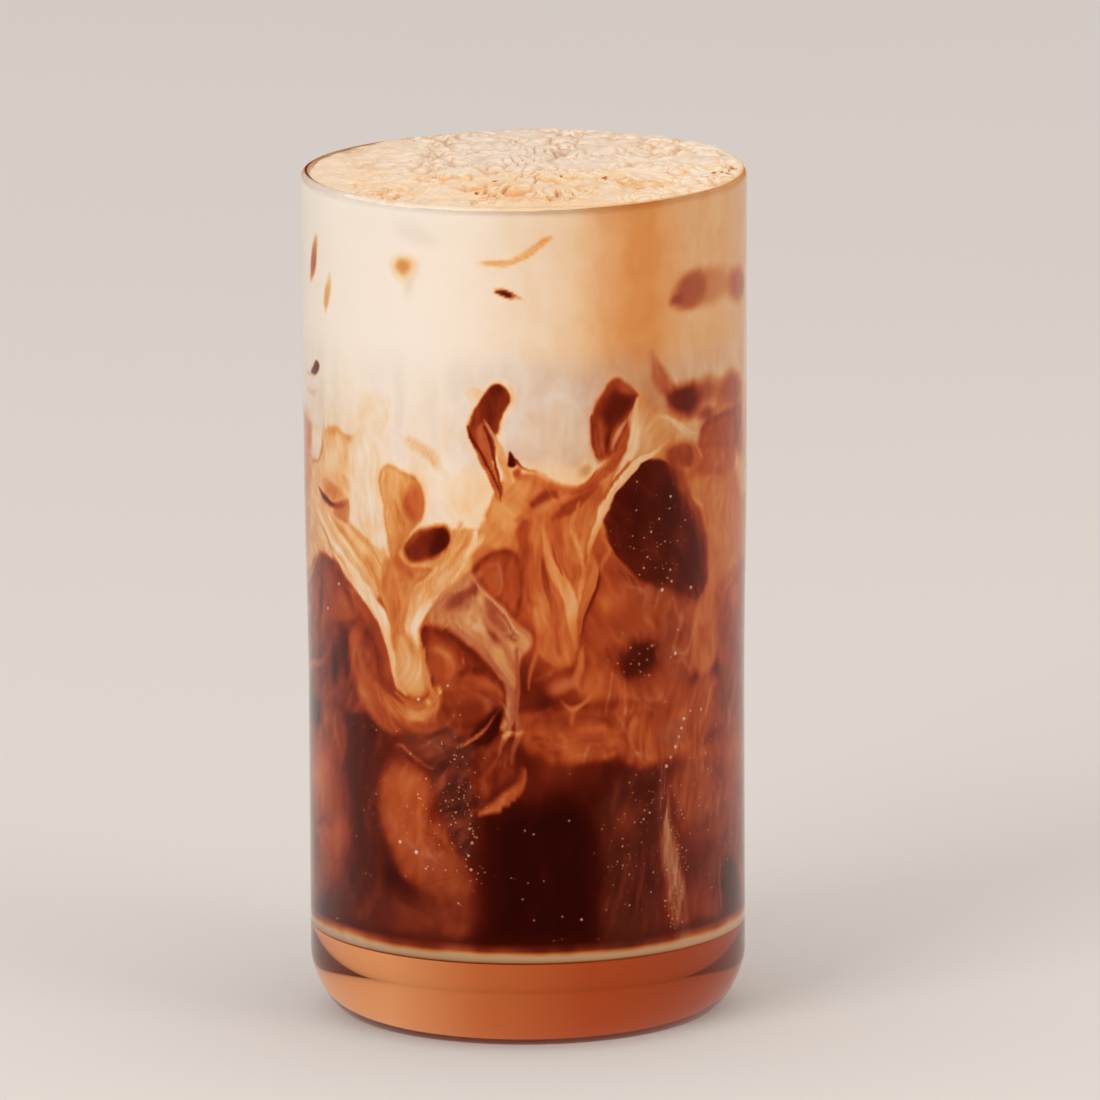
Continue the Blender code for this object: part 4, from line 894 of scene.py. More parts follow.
def paint_froth_marks(wall):
    """A few brown marks in the froth, where coffee has splashed up behind it."""
    wall.ribbon([(-43.2, 134.4, 0.4, 0.7), (-44.0, 131.6, 1.1, 0.46), (-45.0, 129.2, 1.0, 0.4),
            (-46.0, 127.4, 0.4, 0.6)], soft=1.0, haze=0.25)
    wall.ribbon([(-38.2, 129.0, 0.3, 0.84), (-39.0, 126.6, 0.9, 0.68), (-39.5, 124.4, 0.9, 0.66),
            (-39.7, 123.0, 0.4, 0.78)], soft=1.0, haze=0.05)
    wall.spot((-18, 138.4), (3.6, 1.5), 0.92, tilt=-18, soft=0.8, haze=0.45, cover=0.7)
    wall.spot((-20.2, 132.5), (2.2, 1.9), 0.76, soft=0.7)
    wall.spot((-20.4, 132.6), (1.2, 1.2), 0.6, soft=0.6, haze=0.1)
    wall.spot((-19.4, 129.8), (1.0, 2.0), 0.88, tilt=-15, soft=0.8, haze=0.4, cover=0.7)
    wall.ribbon([(-8.4, 134.4, 0.1, 0.86), (-6.4, 134.3, 0.4, 0.74), (-3.6, 134.4, 0.6, 0.7),
            (-1.0, 135.2, 0.5, 0.7), (1.6, 136.7, 0.6, 0.68), (3.6, 138.2, 0.5, 0.66),
            (4.9, 139.2, 0.15, 0.78)], soft=(0.5, 0.6))
    wall.shape([(-4.8, 129.2), (-3.4, 130.0), (-2.0, 129.5), (-1.6, 128.9), (-2.8, 128.6)], (0.2, 0.08),
            soft=0.6, depth=0.5)
    wall.ribbon([(-2.2, 129.2, 0.3, 0.4), (-0.8, 128.6, 0.25, 0.7), (0.4, 128.0, 0.1, 0.86)], soft=0.4,
            haze=0.3)
    wall.spot((35, 127.6), (7.6, 3.0), 0.6, tilt=-4, haze=0.2, glow=0.3)
    wall.spot((30.4, 127.2), (4.5, 2.8), 0.43, tilt=14, soft=0.35, haze=0.3, glow=0.3)
    wall.spot((27.0, 126.2), (1.2, 0.7), 0.36, tilt=20, soft=0.7, haze=0.2)
    wall.spot((46.0, 126.0), (4.4, 3.0), 0.45, tilt=-16, glow=0.55, haze=0.1)
    wall.spot((49.2, 125.0), (2.0, 1.5), 0.38, soft=0.8, glow=0.1, haze=0.1)
    wall.shape([(-46.2, 110.8), (-44.8, 112.6), (-42.8, 113.5), (-41.7, 112.6), (-43.0, 111.2)],
            (0.12, 0.03), soft=0.7, depth=0.8)
    wall.ribbon([(-49.4, 110.4, 0.3, 0.86), (-47.0, 110.7, 0.4, 0.8), (-44.4, 110.6, 0.2, 0.84)], soft=0.5,
            haze=0.5, cover=0.8)
    wall.ribbon([(-50, 107.4, 0.3, 0.86), (-46.0, 108.0, 0.5, 0.8), (-42.0, 108.8, 0.2, 0.86)], soft=0.7,
            haze=0.55, cover=0.7)
    wall.spot((-42.0, 106.0), (1.6, 3.4), 0.88, soft=0.8, haze=0.5, cover=0.6)


def paint_swirls(wall):
    """Lays every part of the drink's side in turn, from the back of the painting to the front."""
    paint_layers(wall)
    paint_deep_coffee(wall)
    paint_middle(wall)
    paint_right_side(wall)
    paint_left_window(wall)
    paint_pocket(wall)
    paint_golden_folds(wall)
    paint_big_window(wall)
    paint_veil(wall)
    paint_left_cream(wall)
    paint_right_arm(wall)
    paint_arm_tip(wall)
    paint_teardrop(wall)
    paint_drops(wall)
    paint_streamer(wall)
    paint_froth_marks(wall)


def mix_in_threads(wall):
    """Fine marbling over everything: smoke in the coffee, and hair-thin threads of milk."""
    across, up, silk = wall.across, wall.up, wall.silk
    milk, haze = wall.shares[:, 0], wall.shares[:, 1]
    bent = across + 2.4 * round_noise(silk, across, up + 40.0, 9.0)
    risen = up + 2.4 * round_noise(silk, across, up + 240.0, 9.0)
    cloud = round_noise(silk, bent, risen + 60.0, 6.0)
    smoke = round_noise(silk, bent, risen, 3.0, 1.5)
    fine = round_noise(silk, bent, risen + 90.0, 1.15, 2.0)
    middling = smooth_rise(milk, 0.04, 0.25) * (1.0 - smooth_rise(milk, 0.86, 0.97))
    side_of_froth = smooth_rise(up, 110.0, 118.0)
    change = middling * (0.045 * cloud + 0.055 * smoke + 0.035 * fine) * (1.0 - 0.65 * side_of_froth)
    swirled = smooth_rise(up, 43.0, 52.0) * (1.0 - smooth_rise(up, 88.0, 98.0))
    dim = smooth_rise(milk, 0.14, 0.26) * (1.0 - smooth_rise(milk, 0.46, 0.62))
    for start, spacing, width, rise in ((10.0, 6.5, 0.07, 0.10), (150.0, 4.2, 0.09, 0.07)):
        line = np.exp(-((round_noise(silk, bent, risen + start, spacing, 1.3) / width) ** 2))
        broken = smooth_rise(round_noise(silk, across, up + 2.0 * start, 7.0), 0.0, 0.35)
        change = change + rise * line * broken * swirled * dim
        haze += 0.12 * line * broken * swirled * dim
    deep = 1.0 - smooth_rise(up, 40.0, 52.0)
    haze += deep * smooth_rise(milk, 0.12, 0.3) * 0.10 * np.maximum(smoke, 0.0)
    milk += change


# Ripples that bend every stroke: how far, and how far apart they lie.
RIPPLES = ((0.7, 7.0), (0.3, 2.8), (0.12, 1.0))

# The front's swirls end at a wavy line this far round, where those behind begin. In the froth, where
# the tones of the two sides differ most, they meet further back and more gently.
SEAM_PLACE = 56.0
SEAM_WAVE = 5.0
SEAM_SOFTNESS = 2.2
SEAM_FROTH_HEIGHTS = (98.0, 108.0)
SEAM_FROTH_SHIFT = 9.0

# How far the swirls behind are moved, so that they don't repeat those in front.
BACK_DRIFT = 4.0


def one_side(across, up, drift):
    """Shares on one side of the wall. across counts from that side's middle, drift moves its swirls."""
    ripple = Noise(7)
    moves = []
    for start in (0.0, 300.0):
        move = drift * round_noise(ripple, across, up + start, 16.0)
        for size, spacing in RIPPLES:
            move = move + size * round_noise(ripple, across, up + start, spacing)
        moves.append(move)
    wall = WallPainting(across + moves[0], up + moves[1])
    paint_swirls(wall)
    mix_in_threads(wall)
    return np.clip(wall.shares, 0.0, 1.0)


def drink_paint(across, up):
    """Shares of milk, haze and glow on the wall, as columns. The swirls behind are of the same kind."""
    wave = SEAM_WAVE * round_noise(Noise(3), across, up, 12.0)
    in_froth = smooth_rise(up, *SEAM_FROTH_HEIGHTS)
    place = SEAM_PLACE + SEAM_FROTH_SHIFT * in_froth
    softness = SEAM_SOFTNESS + SEAM_FROTH_SHIFT * in_froth
    past = (np.abs(across) + wave - place + softness) / (2.0 * softness)
    behind = smooth_rise(past, 0.0, 1.0)
    shares = np.zeros((len(across), 3))
    front, back = behind < 1.0, behind > 0.0
    shares[front] = (1.0 - behind[front, None]) * one_side(across[front], up[front], 0.0)
    from_behind = across[back] - np.sign(across[back]) * HALF_ROUND
    shares[back] += behind[back, None] * one_side(from_behind, up[back], BACK_DRIFT)
    return shares


def outer_radius(height):
    """The outside of the glass wall, which narrows a little at its waist."""
    rise = smooth_rise(height, WAIST_HEIGHT, SHOULDER_HEIGHT)
    waist = WAIST_RADIUS + (SHOULDER_RADIUS - WAIST_RADIUS) * rise
    above = np.maximum(height - SHOULDER_HEIGHT, 0.0) / (GLASS_HEIGHT - SHOULDER_HEIGHT)
    return waist + (RIM_RADIUS - SHOULDER_RADIUS) * above


def drink_radius(height):
    """The outside of the drink, which reaches just into the wall, and further into the rounded lip."""
    return outer_radius(height) - WALL + REACH + LIP_CLING * smooth_rise(height, *LIP_CLING_HEIGHTS)


def waves(bearing, parts):
    """A wavy line round the glass. Bearings are in degrees, 0 at the front and 90 at the right."""
    angle = np.radians(bearing)
    return sum(size * np.sin(count * angle + phase) for count, size, phase in parts)


def milk_bottom(bearing, share):
    """Height of the milk's underside, with its tongues hanging down against the wall."""
    height = MILK_LEVEL + waves(bearing, MILK_WAVES)
    against_wall = smooth_rise(share, *TONGUE_SHARES)
    for centre, left, right, length in TONGUES:
        off = (bearing - centre + 180.0) % 360.0 - 180.0
        spread = np.where(off < 0.0, left, right)
        height = height - length * against_wall * np.exp(-((off / spread) ** 2))
    return height


def froth_bottom(bearing, share):
    """Height of the froth's underside, nearly level."""
    return FROTH_LEVEL + share * waves(bearing, FROTH_WAVES)


def froth_level(bearing, share):
    """Height of the froth's top as the solids have it, before its wrinkles."""
    angle = np.radians(bearing)
    radius = share * (outer_radius(FROTH_TOP) - WALL) / FROTH_BUMP_SPACING
    east = radius * np.sin(angle)
    north = -radius * np.cos(angle)
    bump = np.empty_like(bearing)
    for i, (x, y) in enumerate(zip(east.tolist(), north.tolist())):
        place = Vector((x, y, 0.0))
        bump[i] = noise.noise(place) + 0.5 * noise.noise(2.0 * place)
    mound = np.cos(np.radians(bearing - FROTH_MOUND_BEARING)) * smooth_rise(share, *FROTH_MOUND_SHARES)
    drop = FROTH_EDGE_DROP * smooth_rise(share, *FROTH_EDGE_DROP_SHARES)
    calmer = 1.0 - 0.75 * smooth_rise(share, 0.88, 1.0)
    return FROTH_TOP + FROTH_BUMP * calmer * bump + FROTH_MOUND * mound - drop


def wrinkles(x, y):
    """How creased the froth's top is at places in millimetres: 0 on a smooth crest, 1 in a crease."""
    source = Noise(23)
    flat_y = y / WRINKLE_STRETCH
    bent_x = x + 1.5 * source(x / 5.0, flat_y / 5.0, 3.0 + 0.0 * x)
    bent_y = flat_y + 1.5 * source(x / 5.0, flat_y / 5.0, 8.0 + 0.0 * x)
    crease = np.zeros_like(x)
    for spacing, width, depth in WRINKLE_SPACINGS:
        level = np.abs(source(bent_x / spacing, bent_y / spacing, spacing + 0.0 * x))
        crease = np.maximum(crease, depth * (1.0 - smooth_rise(level, 0.0, width)))
    patches = 0.3 + 0.7 * smooth_rise(source(x / 9.0, y / 9.0, 14.0 + 0.0 * x), -0.3, 0.3)
    calm = smooth_rise(x, -32.0, -24.0) * smooth_rise(y + 0.2 * np.abs(x), -31.0, -26.0)
    return crease * patches * (0.2 + 0.8 * calm)


def froth_top(bearing, share):
    """Height of the froth's top with its wrinkles, which fade out where it meets the glass."""
    angle = np.radians(bearing)
    radius = share * (outer_radius(FROTH_TOP) - WALL) / MM
    crease = wrinkles(radius * np.sin(angle), -radius * np.cos(angle))
    inside = 1.0 - smooth_rise(share, 0.96, 0.995)
    return froth_level(bearing, share) + WRINKLE_DEPTH * inside * (0.35 - crease)


def bowl_bottom(bearing, share):
    """Height of the drink's underside, which follows the floor of the glass and its round corner."""
    radius = drink_radius(FLOOR_HEIGHT)
    corner = BOWL_CORNER + REACH
    into_corner = np.maximum(share * radius - (radius - corner), 0.0)
    rise = corner - np.sqrt(np.maximum(corner**2 - into_corner**2, 0.0))
    return FLOOR_HEIGHT - REACH + rise + 0.0 * bearing


def turned_body(name, rings, shifted=None):
    """A closed body from rings of points, each with one point for each column, from its bottom up.

    The first and the last ring are single points on the axis. shifted tells of each ring between them
    whether its points lie half a column on.
    """
    columns = len(rings[1])
    vertices = np.concatenate(rings)
    starts = 1 + columns * np.arange(len(rings) - 2)
    here = np.arange(columns)
    after = (here + 1) % columns
    faces = []
    for i, (low, high) in enumerate(zip(starts, starts[1:])):
        if not shifted or shifted[i] == shifted[i + 1]:
            faces.append(np.stack([low + here, low + after, high + after, high + here], axis=-1))
        elif shifted[i]:
            faces.append(np.stack([low + here, high + after, high + here], axis=-1))
            faces.append(np.stack([low + here, low + after, high + after], axis=-1))
        else:
            faces.append(np.stack([low + here, low + after, high + here], axis=-1))
            faces.append(np.stack([low + after, high + after, high + here], axis=-1))
    last = len(vertices) - 1
    faces.append(np.stack([np.zeros_like(here), starts[0] + after, starts[0] + here], axis=-1))
    faces.append(np.stack([np.full_like(here, last), starts[-1] + here, starts[-1] + after], axis=-1))
    mesh = bpy.data.meshes.new(name)
    mesh.from_pydata(vertices.tolist(), [], [face for batch in faces for face in batch.tolist()])
    mesh.shade_smooth()
    mesh.set_sharp_from_angle(angle=math.radians(50.0))
    obj = bpy.data.objects.new(name, mesh)
    bpy.context.scene.collection.objects.link(obj)
    return obj


def ring(radius, height, angle):
    """Points round the axis. Angles count from the front to the right."""
    points = np.empty((len(angle), 3))
    points[:, 0] = radius * np.sin(angle)
    points[:, 1] = -radius * np.cos(angle)
    points[:, 2] = height
    return points


def centre_point(height):
    """A ring of one point on the axis."""
    return np.array([[0.0, 0.0, height]])


def column_angles(shift):
    """The columns' angles, shifted by a share of a column."""
    column = np.arange(COLUMNS) + shift
    edges = (0, FRONT_COLUMNS, COLUMNS)
    across = np.interp(column, edges, (-FRONT_HALF, FRONT_HALF, 2.0 * HALF_ROUND - FRONT_HALF))
    return across / FLAT_RADIUS


def row_heights(low, high, part):
    """Heights a part of the way up each column, with the rows closer together in the swirls."""
    heights = np.linspace(ROW_HEIGHTS[0], ROW_HEIGHTS[-1], 600)
    spacing = np.interp(heights, ROW_HEIGHTS, ROW_SPACINGS)
    counted = np.concatenate([[0.0], np.cumsum(np.diff(heights) / spacing[1:])])
    start = np.interp(low / MM, heights, counted)
    end = np.interp(high / MM, heights, counted)
    return MM * np.interp(start + (end - start) * part, counted, heights)


def layer_rings(bottom, bottom_shares, top, top_shares, rows):
    """Rings of a layer that fills the glass between two surfaces, from its bottom up, and their shifts."""
    middle = np.zeros(1)
    rings = [centre_point(bottom(middle, middle)[0])]
    shifted = []
    for i in range(-len(bottom_shares), rows + 1 + len(top_shares)):
        shifted.append(i % 2)
        angle = column_angles(0.5 * shifted[-1])
        bearing = np.degrees(angle)
        if i < 0:
            share = bottom_shares[i]
            height = bottom(bearing, share + 0.0 * bearing)
        elif i > rows:
            share = top_shares[rows - i]
            height = top(bearing, share + 0.0 * bearing)
        else:
            share = 1.0
            low = bottom(bearing, 1.0 + 0.0 * bearing)
            high = top(bearing, 1.0 + 0.0 * bearing)
            height = row_heights(low, high, i / rows) if 0 < i < rows else (high if i else low)
        rings.append(ring(share * drink_radius(height), height, angle))
    rings.append(centre_point(top(middle, middle)[0]))
    return rings, shifted


def paint(obj, values):
    """Stores the shares of milk, haze and glow of each point."""
    colours = np.ones((len(values), 4))
    colours[:, :3] = values
    layer = obj.data.attributes.new("shares", "FLOAT_COLOR", "POINT")
    layer.data.foreach_set("color", colours.ravel())


def points_of(obj):
    """A mesh's points as an array."""
    points = np.empty(3 * len(obj.data.vertices))
    obj.data.vertices.foreach_get("co", points)
    return points.reshape(-1, 3)


def wall_place(points):
    """The way round and the height of points, in millimetres, on the wall laid out flat."""
    across = FLAT_RADIUS * np.arctan2(points[:, 0], -points[:, 1])
    return across, points[:, 2] / MM


def node(tree, kind, inputs=None, stops=None, **settings):
    """Adds a node. An input that is a socket is linked, and any other is set."""
    made = tree.nodes.new(kind)
    for name, value in settings.items():
        setattr(made, name, value)
    for name, value in (inputs or {}).items():
        if isinstance(value, bpy.types.NodeSocket):
            tree.links.new(value, made.inputs[name])
        else:
            made.inputs[name].default_value = value
    if stops:
        scale = made.color_ramp.elements
        while len(scale) < len(stops):
            scale.new(1.0)
        for element, (place, colour) in zip(scale, stops):
            element.position = place
            element.color = linear(colour)
    return made


def new_material(name):
    """An empty material with its output node."""
    material = bpy.data.materials.new(name)
    material.use_nodes = True
    tree = material.node_tree
    tree.nodes.clear()
    output = tree.nodes.new("ShaderNodeOutputMaterial")
    return material, tree, output


def soda_lime_glass():
    """Clear soda-lime glass, pressed and fire-polished: sharp reflections and a bright lens of a foot."""
    material, tree, output = new_material("clear_soda_lime_glass")
    glass = node(tree, "ShaderNodeBsdfPrincipled", {
        "Base Color": linear("FDFEFE"),
        "Roughness": 0.0,
        "IOR": 1.52,
        "Transmission Weight": 1.0,
        "Specular Tint": linear("403C3A"),
    })
    # Shadows pass through, so that the soft light reaches the drink.
    path = node(tree, "ShaderNodeLightPath")
    clear = node(tree, "ShaderNodeBsdfTransparent", {"Color": linear("F8FAFA")})
    mix = node(tree, "ShaderNodeMixShader", {0: path.outputs["Is Shadow Ray"], 1: glass.outputs[0],
                                             2: clear.outputs[0]})
    tree.links.new(mix.outputs[0], output.inputs["Surface"])
    return material


def drink_colour(tree):
    """The colour that the painted shares of milk, haze and glow give."""
    shares = node(tree, "ShaderNodeAttribute", attribute_name="shares")
    parts = node(tree, "ShaderNodeSeparateColor", {"Color": shares.outputs["Color"]})
    milk, haze, glow = parts.outputs[:3]
    clear = node(tree, "ShaderNodeValToRGB", {"Fac": milk}, CLEAR_SCALE)
    glowing = node(tree, "ShaderNodeValToRGB", {"Fac": milk}, GLOW_SCALE)
    hazy = node(tree, "ShaderNodeValToRGB", {"Fac": milk}, HAZE_SCALE)
    warm = node(tree, "ShaderNodeMixRGB", {"Fac": glow, "Color1": clear.outputs["Color"],
                                           "Color2": glowing.outputs["Color"]})
    full = node(tree, "ShaderNodeMixRGB", {"Fac": haze, "Color1": warm.outputs["Color"],
                                           "Color2": hazy.outputs["Color"]})
    return full.outputs["Color"]


def milky_coffee():
    """Coffee and milk, seen where they wet the glass: no gloss of their own, as glass covers them."""
    material, tree, output = new_material("coffee_and_milk")
    shader = node(tree, "ShaderNodeBsdfPrincipled", {
        "Base Color": drink_colour(tree),
        "Roughness": 0.6,
        "IOR": 1.34,
        "Specular IOR Level": 0.0,
    })
    tree.links.new(shader.outputs[0], output.inputs["Surface"])
    return material


def cold_foam():
    """Milk froth: a matt skin of fine bubbles."""
    material, tree, output = new_material("cold_milk_foam")
    shader = node(tree, "ShaderNodeBsdfPrincipled", {
        "Base Color": drink_colour(tree),
        "Roughness": 0.55,
        "IOR": 1.34,
        "Specular IOR Level": 0.3,
    })
    tree.links.new(shader.outputs[0], output.inputs["Surface"])
    return material


def arc(centre, radius, start, end, count):
    """Points on a circle in the plane of the profile, from one angle to the other in degrees."""
    points = []
    for i in range(count + 1):
        angle = math.radians(start + (end - start) * i / count)
        points.append((centre[0] + radius * math.cos(angle), centre[1] + radius * math.sin(angle)))
    return points


def glass_profile():
    """The glass's section from the middle of its foot, up the outside and down the inside to its floor."""
    profile = []
    for share in np.linspace(0.08, 1.0, PUNT_STEPS):
        sag = smooth_rise(share, PUNT_EDGE, 1.0)
        profile.append((PUNT_RADIUS * share, PUNT_DEPTH * (1.0 - sag)))
    for i in range(HEEL_STEPS + 1):
        drop = math.cos(math.radians(90.0 * i / HEEL_STEPS))
        width = (1.0 - drop**HEEL_POWER) ** (1.0 / HEEL_POWER)
        profile.append((FOOT_RADIUS + (WAIST_RADIUS - FOOT_RADIUS) * width, HEEL_HEIGHT * (1.0 - drop)))
    lip = WALL / 2
    for height in np.linspace(HEEL_HEIGHT, GLASS_HEIGHT - lip, OUTSIDE_STEPS)[1:-1]:
        profile.append((float(outer_radius(height)), float(height)))
    profile += arc((RIM_RADIUS - lip, GLASS_HEIGHT - lip), lip, 0.0, 180.0, LIP_STEPS)
    corner_top = FLOOR_HEIGHT + BOWL_CORNER
    for height in np.linspace(GLASS_HEIGHT - lip, corner_top, INSIDE_STEPS)[1:-1]:
        profile.append((float(outer_radius(height)) - WALL, float(height)))
    corner = (float(outer_radius(FLOOR_HEIGHT)) - WALL - BOWL_CORNER, corner_top)
    profile += arc(corner, BOWL_CORNER, 0.0, -90.0, CORNER_STEPS)
    for share in FLOOR_SHARES:
        profile.append((corner[0] * share, FLOOR_HEIGHT))
    return profile


def make_tumbler():
    """The glass itself, in place of its solid."""
    angle = math.tau * np.arange(GLASS_STEPS) / GLASS_STEPS
    rings = [centre_point(PUNT_DEPTH)]
    rings += [ring(radius, height, angle) for radius, height in glass_profile()]
    rings.append(centre_point(FLOOR_HEIGHT))
    tumbler = turned_body("tumbler", rings)
    tumbler.data.materials.append(soda_lime_glass())
    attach(tumbler, "root")
    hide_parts("glass")


# Dark specks on the froth's top, painted shade of small pits: where they lie from the middle, and their
# radius, in millimetres.
FOAM_SPECKS = (
    (-4.8, -13.3, 0.5), (-7.8, -20.2, 0.4), (6.1, -9.0, 0.45), (13.5, -9.0, 0.5), (24.0, -7.3, 0.35),
    (31.9, -7.3, 0.4), (33.2, -7.6, 0.35), (34.2, -8.6, 0.4), (34.9, -5.0, 0.5), (35.2, -2.6, 0.5),
)


def foam_paint(x, y):
    """Shares of milk, haze and glow on the froth's top, at places in millimetres."""
    source = Noise(31)
    cloud = source(x / 7.0, y / 10.0, 2.0 + 0.0 * x)
    fine = source(x / 2.2, y / 3.2, 5.0 + 0.0 * x)
    crease = wrinkles(x, y)
    left = smooth_rise(-x, 16.0, 27.0)
    right = smooth_rise(x, 12.0, 26.0)
    front = smooth_rise(-y + 4.0 * cloud, 2.0, 16.0) * np.exp(-(((x - 4.0) / 24.0) ** 2))
    behind = smooth_rise(y + 6.0 * cloud, -9.0, 6.0) * np.exp(-(((x + 1.0) / 24.0) ** 2))
    strip = smooth_rise(-y - 0.35 * np.abs(x), 25.0, 29.0) * smooth_rise(x, -8.0, 4.0)
    milk = 0.90 - 0.02 * left + 0.01 * right - 0.035 * front - 0.03 * strip + 0.02 * cloud + 0.012 * fine
    # The creases are painted darker and greyer: painted shade in them, on top of their real relief.
    milk = milk - crease * (0.15 + 0.02 * front)
    haze = 0.3 * behind + crease * (0.35 * behind + 0.22)
    # The specks: painted shade of small pits.
    for centre_x, centre_y, radius in FOAM_SPECKS:
        near = np.hypot(x - centre_x, (y - centre_y) / 2.2) / radius
        speck = 1.0 - smooth_rise(near, 0.5, 1.3)
        milk = milk + (0.45 - milk) * speck
        haze = haze + (0.6 - haze) * speck
    return np.clip(np.stack([milk, haze, np.zeros_like(x)], axis=-1), 0.0, 1.0)


def paint_bright_edge(values, across, up):
    """The golden line on the drink's lowest edge, where light gathers in the corner of the bowl."""
    level = 0.0 * up
    wave = 0.35 * round_noise(Noise(5), across, level, 9.0)
    wave += 0.15 * round_noise(Noise(5), across, level, 3.0)
    glint = np.exp(-(((across + 35.0) / 9.0) ** 2)) + 0.5 * np.exp(-(((across - 42.0) / 9.0) ** 2))
    broken = 0.5 + 0.5 * round_noise(Noise(6), across, level, 2.0)
    low = smooth_rise(up, 14.5, 15.1)
    line = low * (1.0 - smooth_rise(up + wave, 16.0, 17.6 + 0.8 * np.minimum(glint, 1.0)))
    milk = 0.84 + 0.14 * np.clip(glint * broken, 0.0, 1.0)
    below = 1.0 - low
    # A painted line of shade just above the bright line.
    shade = smooth_rise(up + wave, 16.6, 17.8) * (1.0 - smooth_rise(up + wave, 18.2, 20.4))
    values[:, 0] += 0.7 * shade * (0.1 - values[:, 0])
    for share, target in ((0, milk), (1, 0.0), (2, 0.45)):
        values[:, share] += line * (target - values[:, share])
    # Below the line, the drink's underside is painted warm red-brown, a painted reflection that the foot
    # shows as amber.
    values[:, 0] += below * (0.36 - values[:, 0])
    values[:, 2] += below * (0.5 - values[:, 2])


def make_layer(name, node_name, material, layer):
    """One layer of the drink, painted where it wets the wall, in place of its solid."""
    rings, shifted = layer_rings(*layer)
    piece = turned_body(name, rings, shifted)
    points = points_of(piece)
    values = drink_paint(*wall_place(points))
    if node_name == "coffee":
        paint_bright_edge(values, *wall_place(points))
    if node_name == "froth":
        top = len(points) - 1 - len(layer[3]) * COLUMNS
        values[top:] = foam_paint(points[top:, 0] / MM, points[top:, 1] / MM)
    paint(piece, values)
    piece.data.materials.append(material)
    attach(piece, "root")
    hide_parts(node_name)


def make_drink():
    """The three layers of the drink."""
    few = (0.3, 0.6, 0.8, 0.92)
    tongue_shares = (0.2, 0.3, 0.42, 0.54, 0.66, 0.78, 0.88, 0.95)
    bowl_shares = (0.45, 0.80, 0.86, 0.895, 0.915, 0.93, 0.943, 0.955, 0.966, 0.976, 0.985, 0.993)
    top_shares = tuple(np.linspace(1.0 / FROTH_RINGS, 1.0, FROTH_RINGS)[:-1])
    liquid = milky_coffee()
    make_layer("dark_coffee", "coffee", liquid,
               (bowl_bottom, bowl_shares, milk_bottom, tongue_shares, COFFEE_ROWS))
    make_layer("sinking_milk", "milk", liquid, (milk_bottom, tongue_shares, froth_bottom, few, MILK_ROWS))
    make_layer("froth_cap", "froth", cold_foam(), (froth_bottom, few, froth_top, top_shares, FROTH_ROWS))


# The ice, pressed to the wall: where, its width and height there in millimetres, and its tilt in degrees.
ICE_CUBES = (
    (23.8, 87.0, 19.0, 22.0, 30.0), (-39.5, 67.5, 19.0, 20.0, -15.0), (-18.5, 37.5, 15.0, 20.0, 20.0),
    (-43.0, 39.0, 17.0, 22.0, 8.0), (39.5, 99.0, 18.0, 15.0, 0.0),
)
ICE_DEPTH = 20.0
ICE_STEPS = 40
ICE_POWER = 5.0

# How far a cube would stand out of the drink, before it is pressed to the wall, and the film over it.
ICE_PRESS = 2.5
ICE_FILM = 0.04


def make_ice():
    """Five sunken ice cubes with rounded edges, their outer faces wet with the drink that lies on them."""
    side = np.linspace(-1.0, 1.0, ICE_STEPS + 1)
    faces, places, first = [], [], 0
    here = np.arange(ICE_STEPS)
    corners = (here[:, None] * (ICE_STEPS + 1) + here[None, :]).ravel()
    for across, up, width, height, tilt in ICE_CUBES:
        turn = math.radians(tilt)
        bearing = across / FLAT_RADIUS
        for axis in range(3):
            for end in (-1.0, 1.0):
                block = np.empty((ICE_STEPS + 1, ICE_STEPS + 1, 3))
                block[:, :, axis] = end
                block[:, :, (axis + 1) % 3] = side[:, None]
                block[:, :, (axis + 2) % 3] = end * side[None, :]
                block = block.reshape(-1, 3)
                block = block / (np.abs(block) ** ICE_POWER).sum(axis=1, keepdims=True) ** (1.0 / ICE_POWER)
                wide = block[:, 0] * width / 2.0
                high = block[:, 1] * height / 2.0
                deep = block[:, 2] * ICE_DEPTH / 2.0
                level = up + high * math.cos(turn) + wide * math.sin(turn)
                along = wide * math.cos(turn) - high * math.sin(turn)
                wall_radius = drink_radius(level * MM) / MM
                out = wall_radius - ICE_DEPTH / 2.0 + ICE_PRESS + deep
                x = along * math.cos(bearing) + out * math.sin(bearing)
                y = along * math.sin(bearing) - out * math.cos(bearing)
                radius = np.hypot(x, y)
                pressed = np.minimum(1.0, (wall_radius + ICE_FILM) / radius)
                places.append(np.stack([x * pressed, y * pressed, level], axis=-1) * MM)
                near = first + corners
                faces.append(np.stack([near, near + ICE_STEPS + 1, near + ICE_STEPS + 2,
                                       near + 1], axis=-1))
                first += len(block)
    place_small_pieces("ice_cubes", np.concatenate(places), np.concatenate(faces), None)


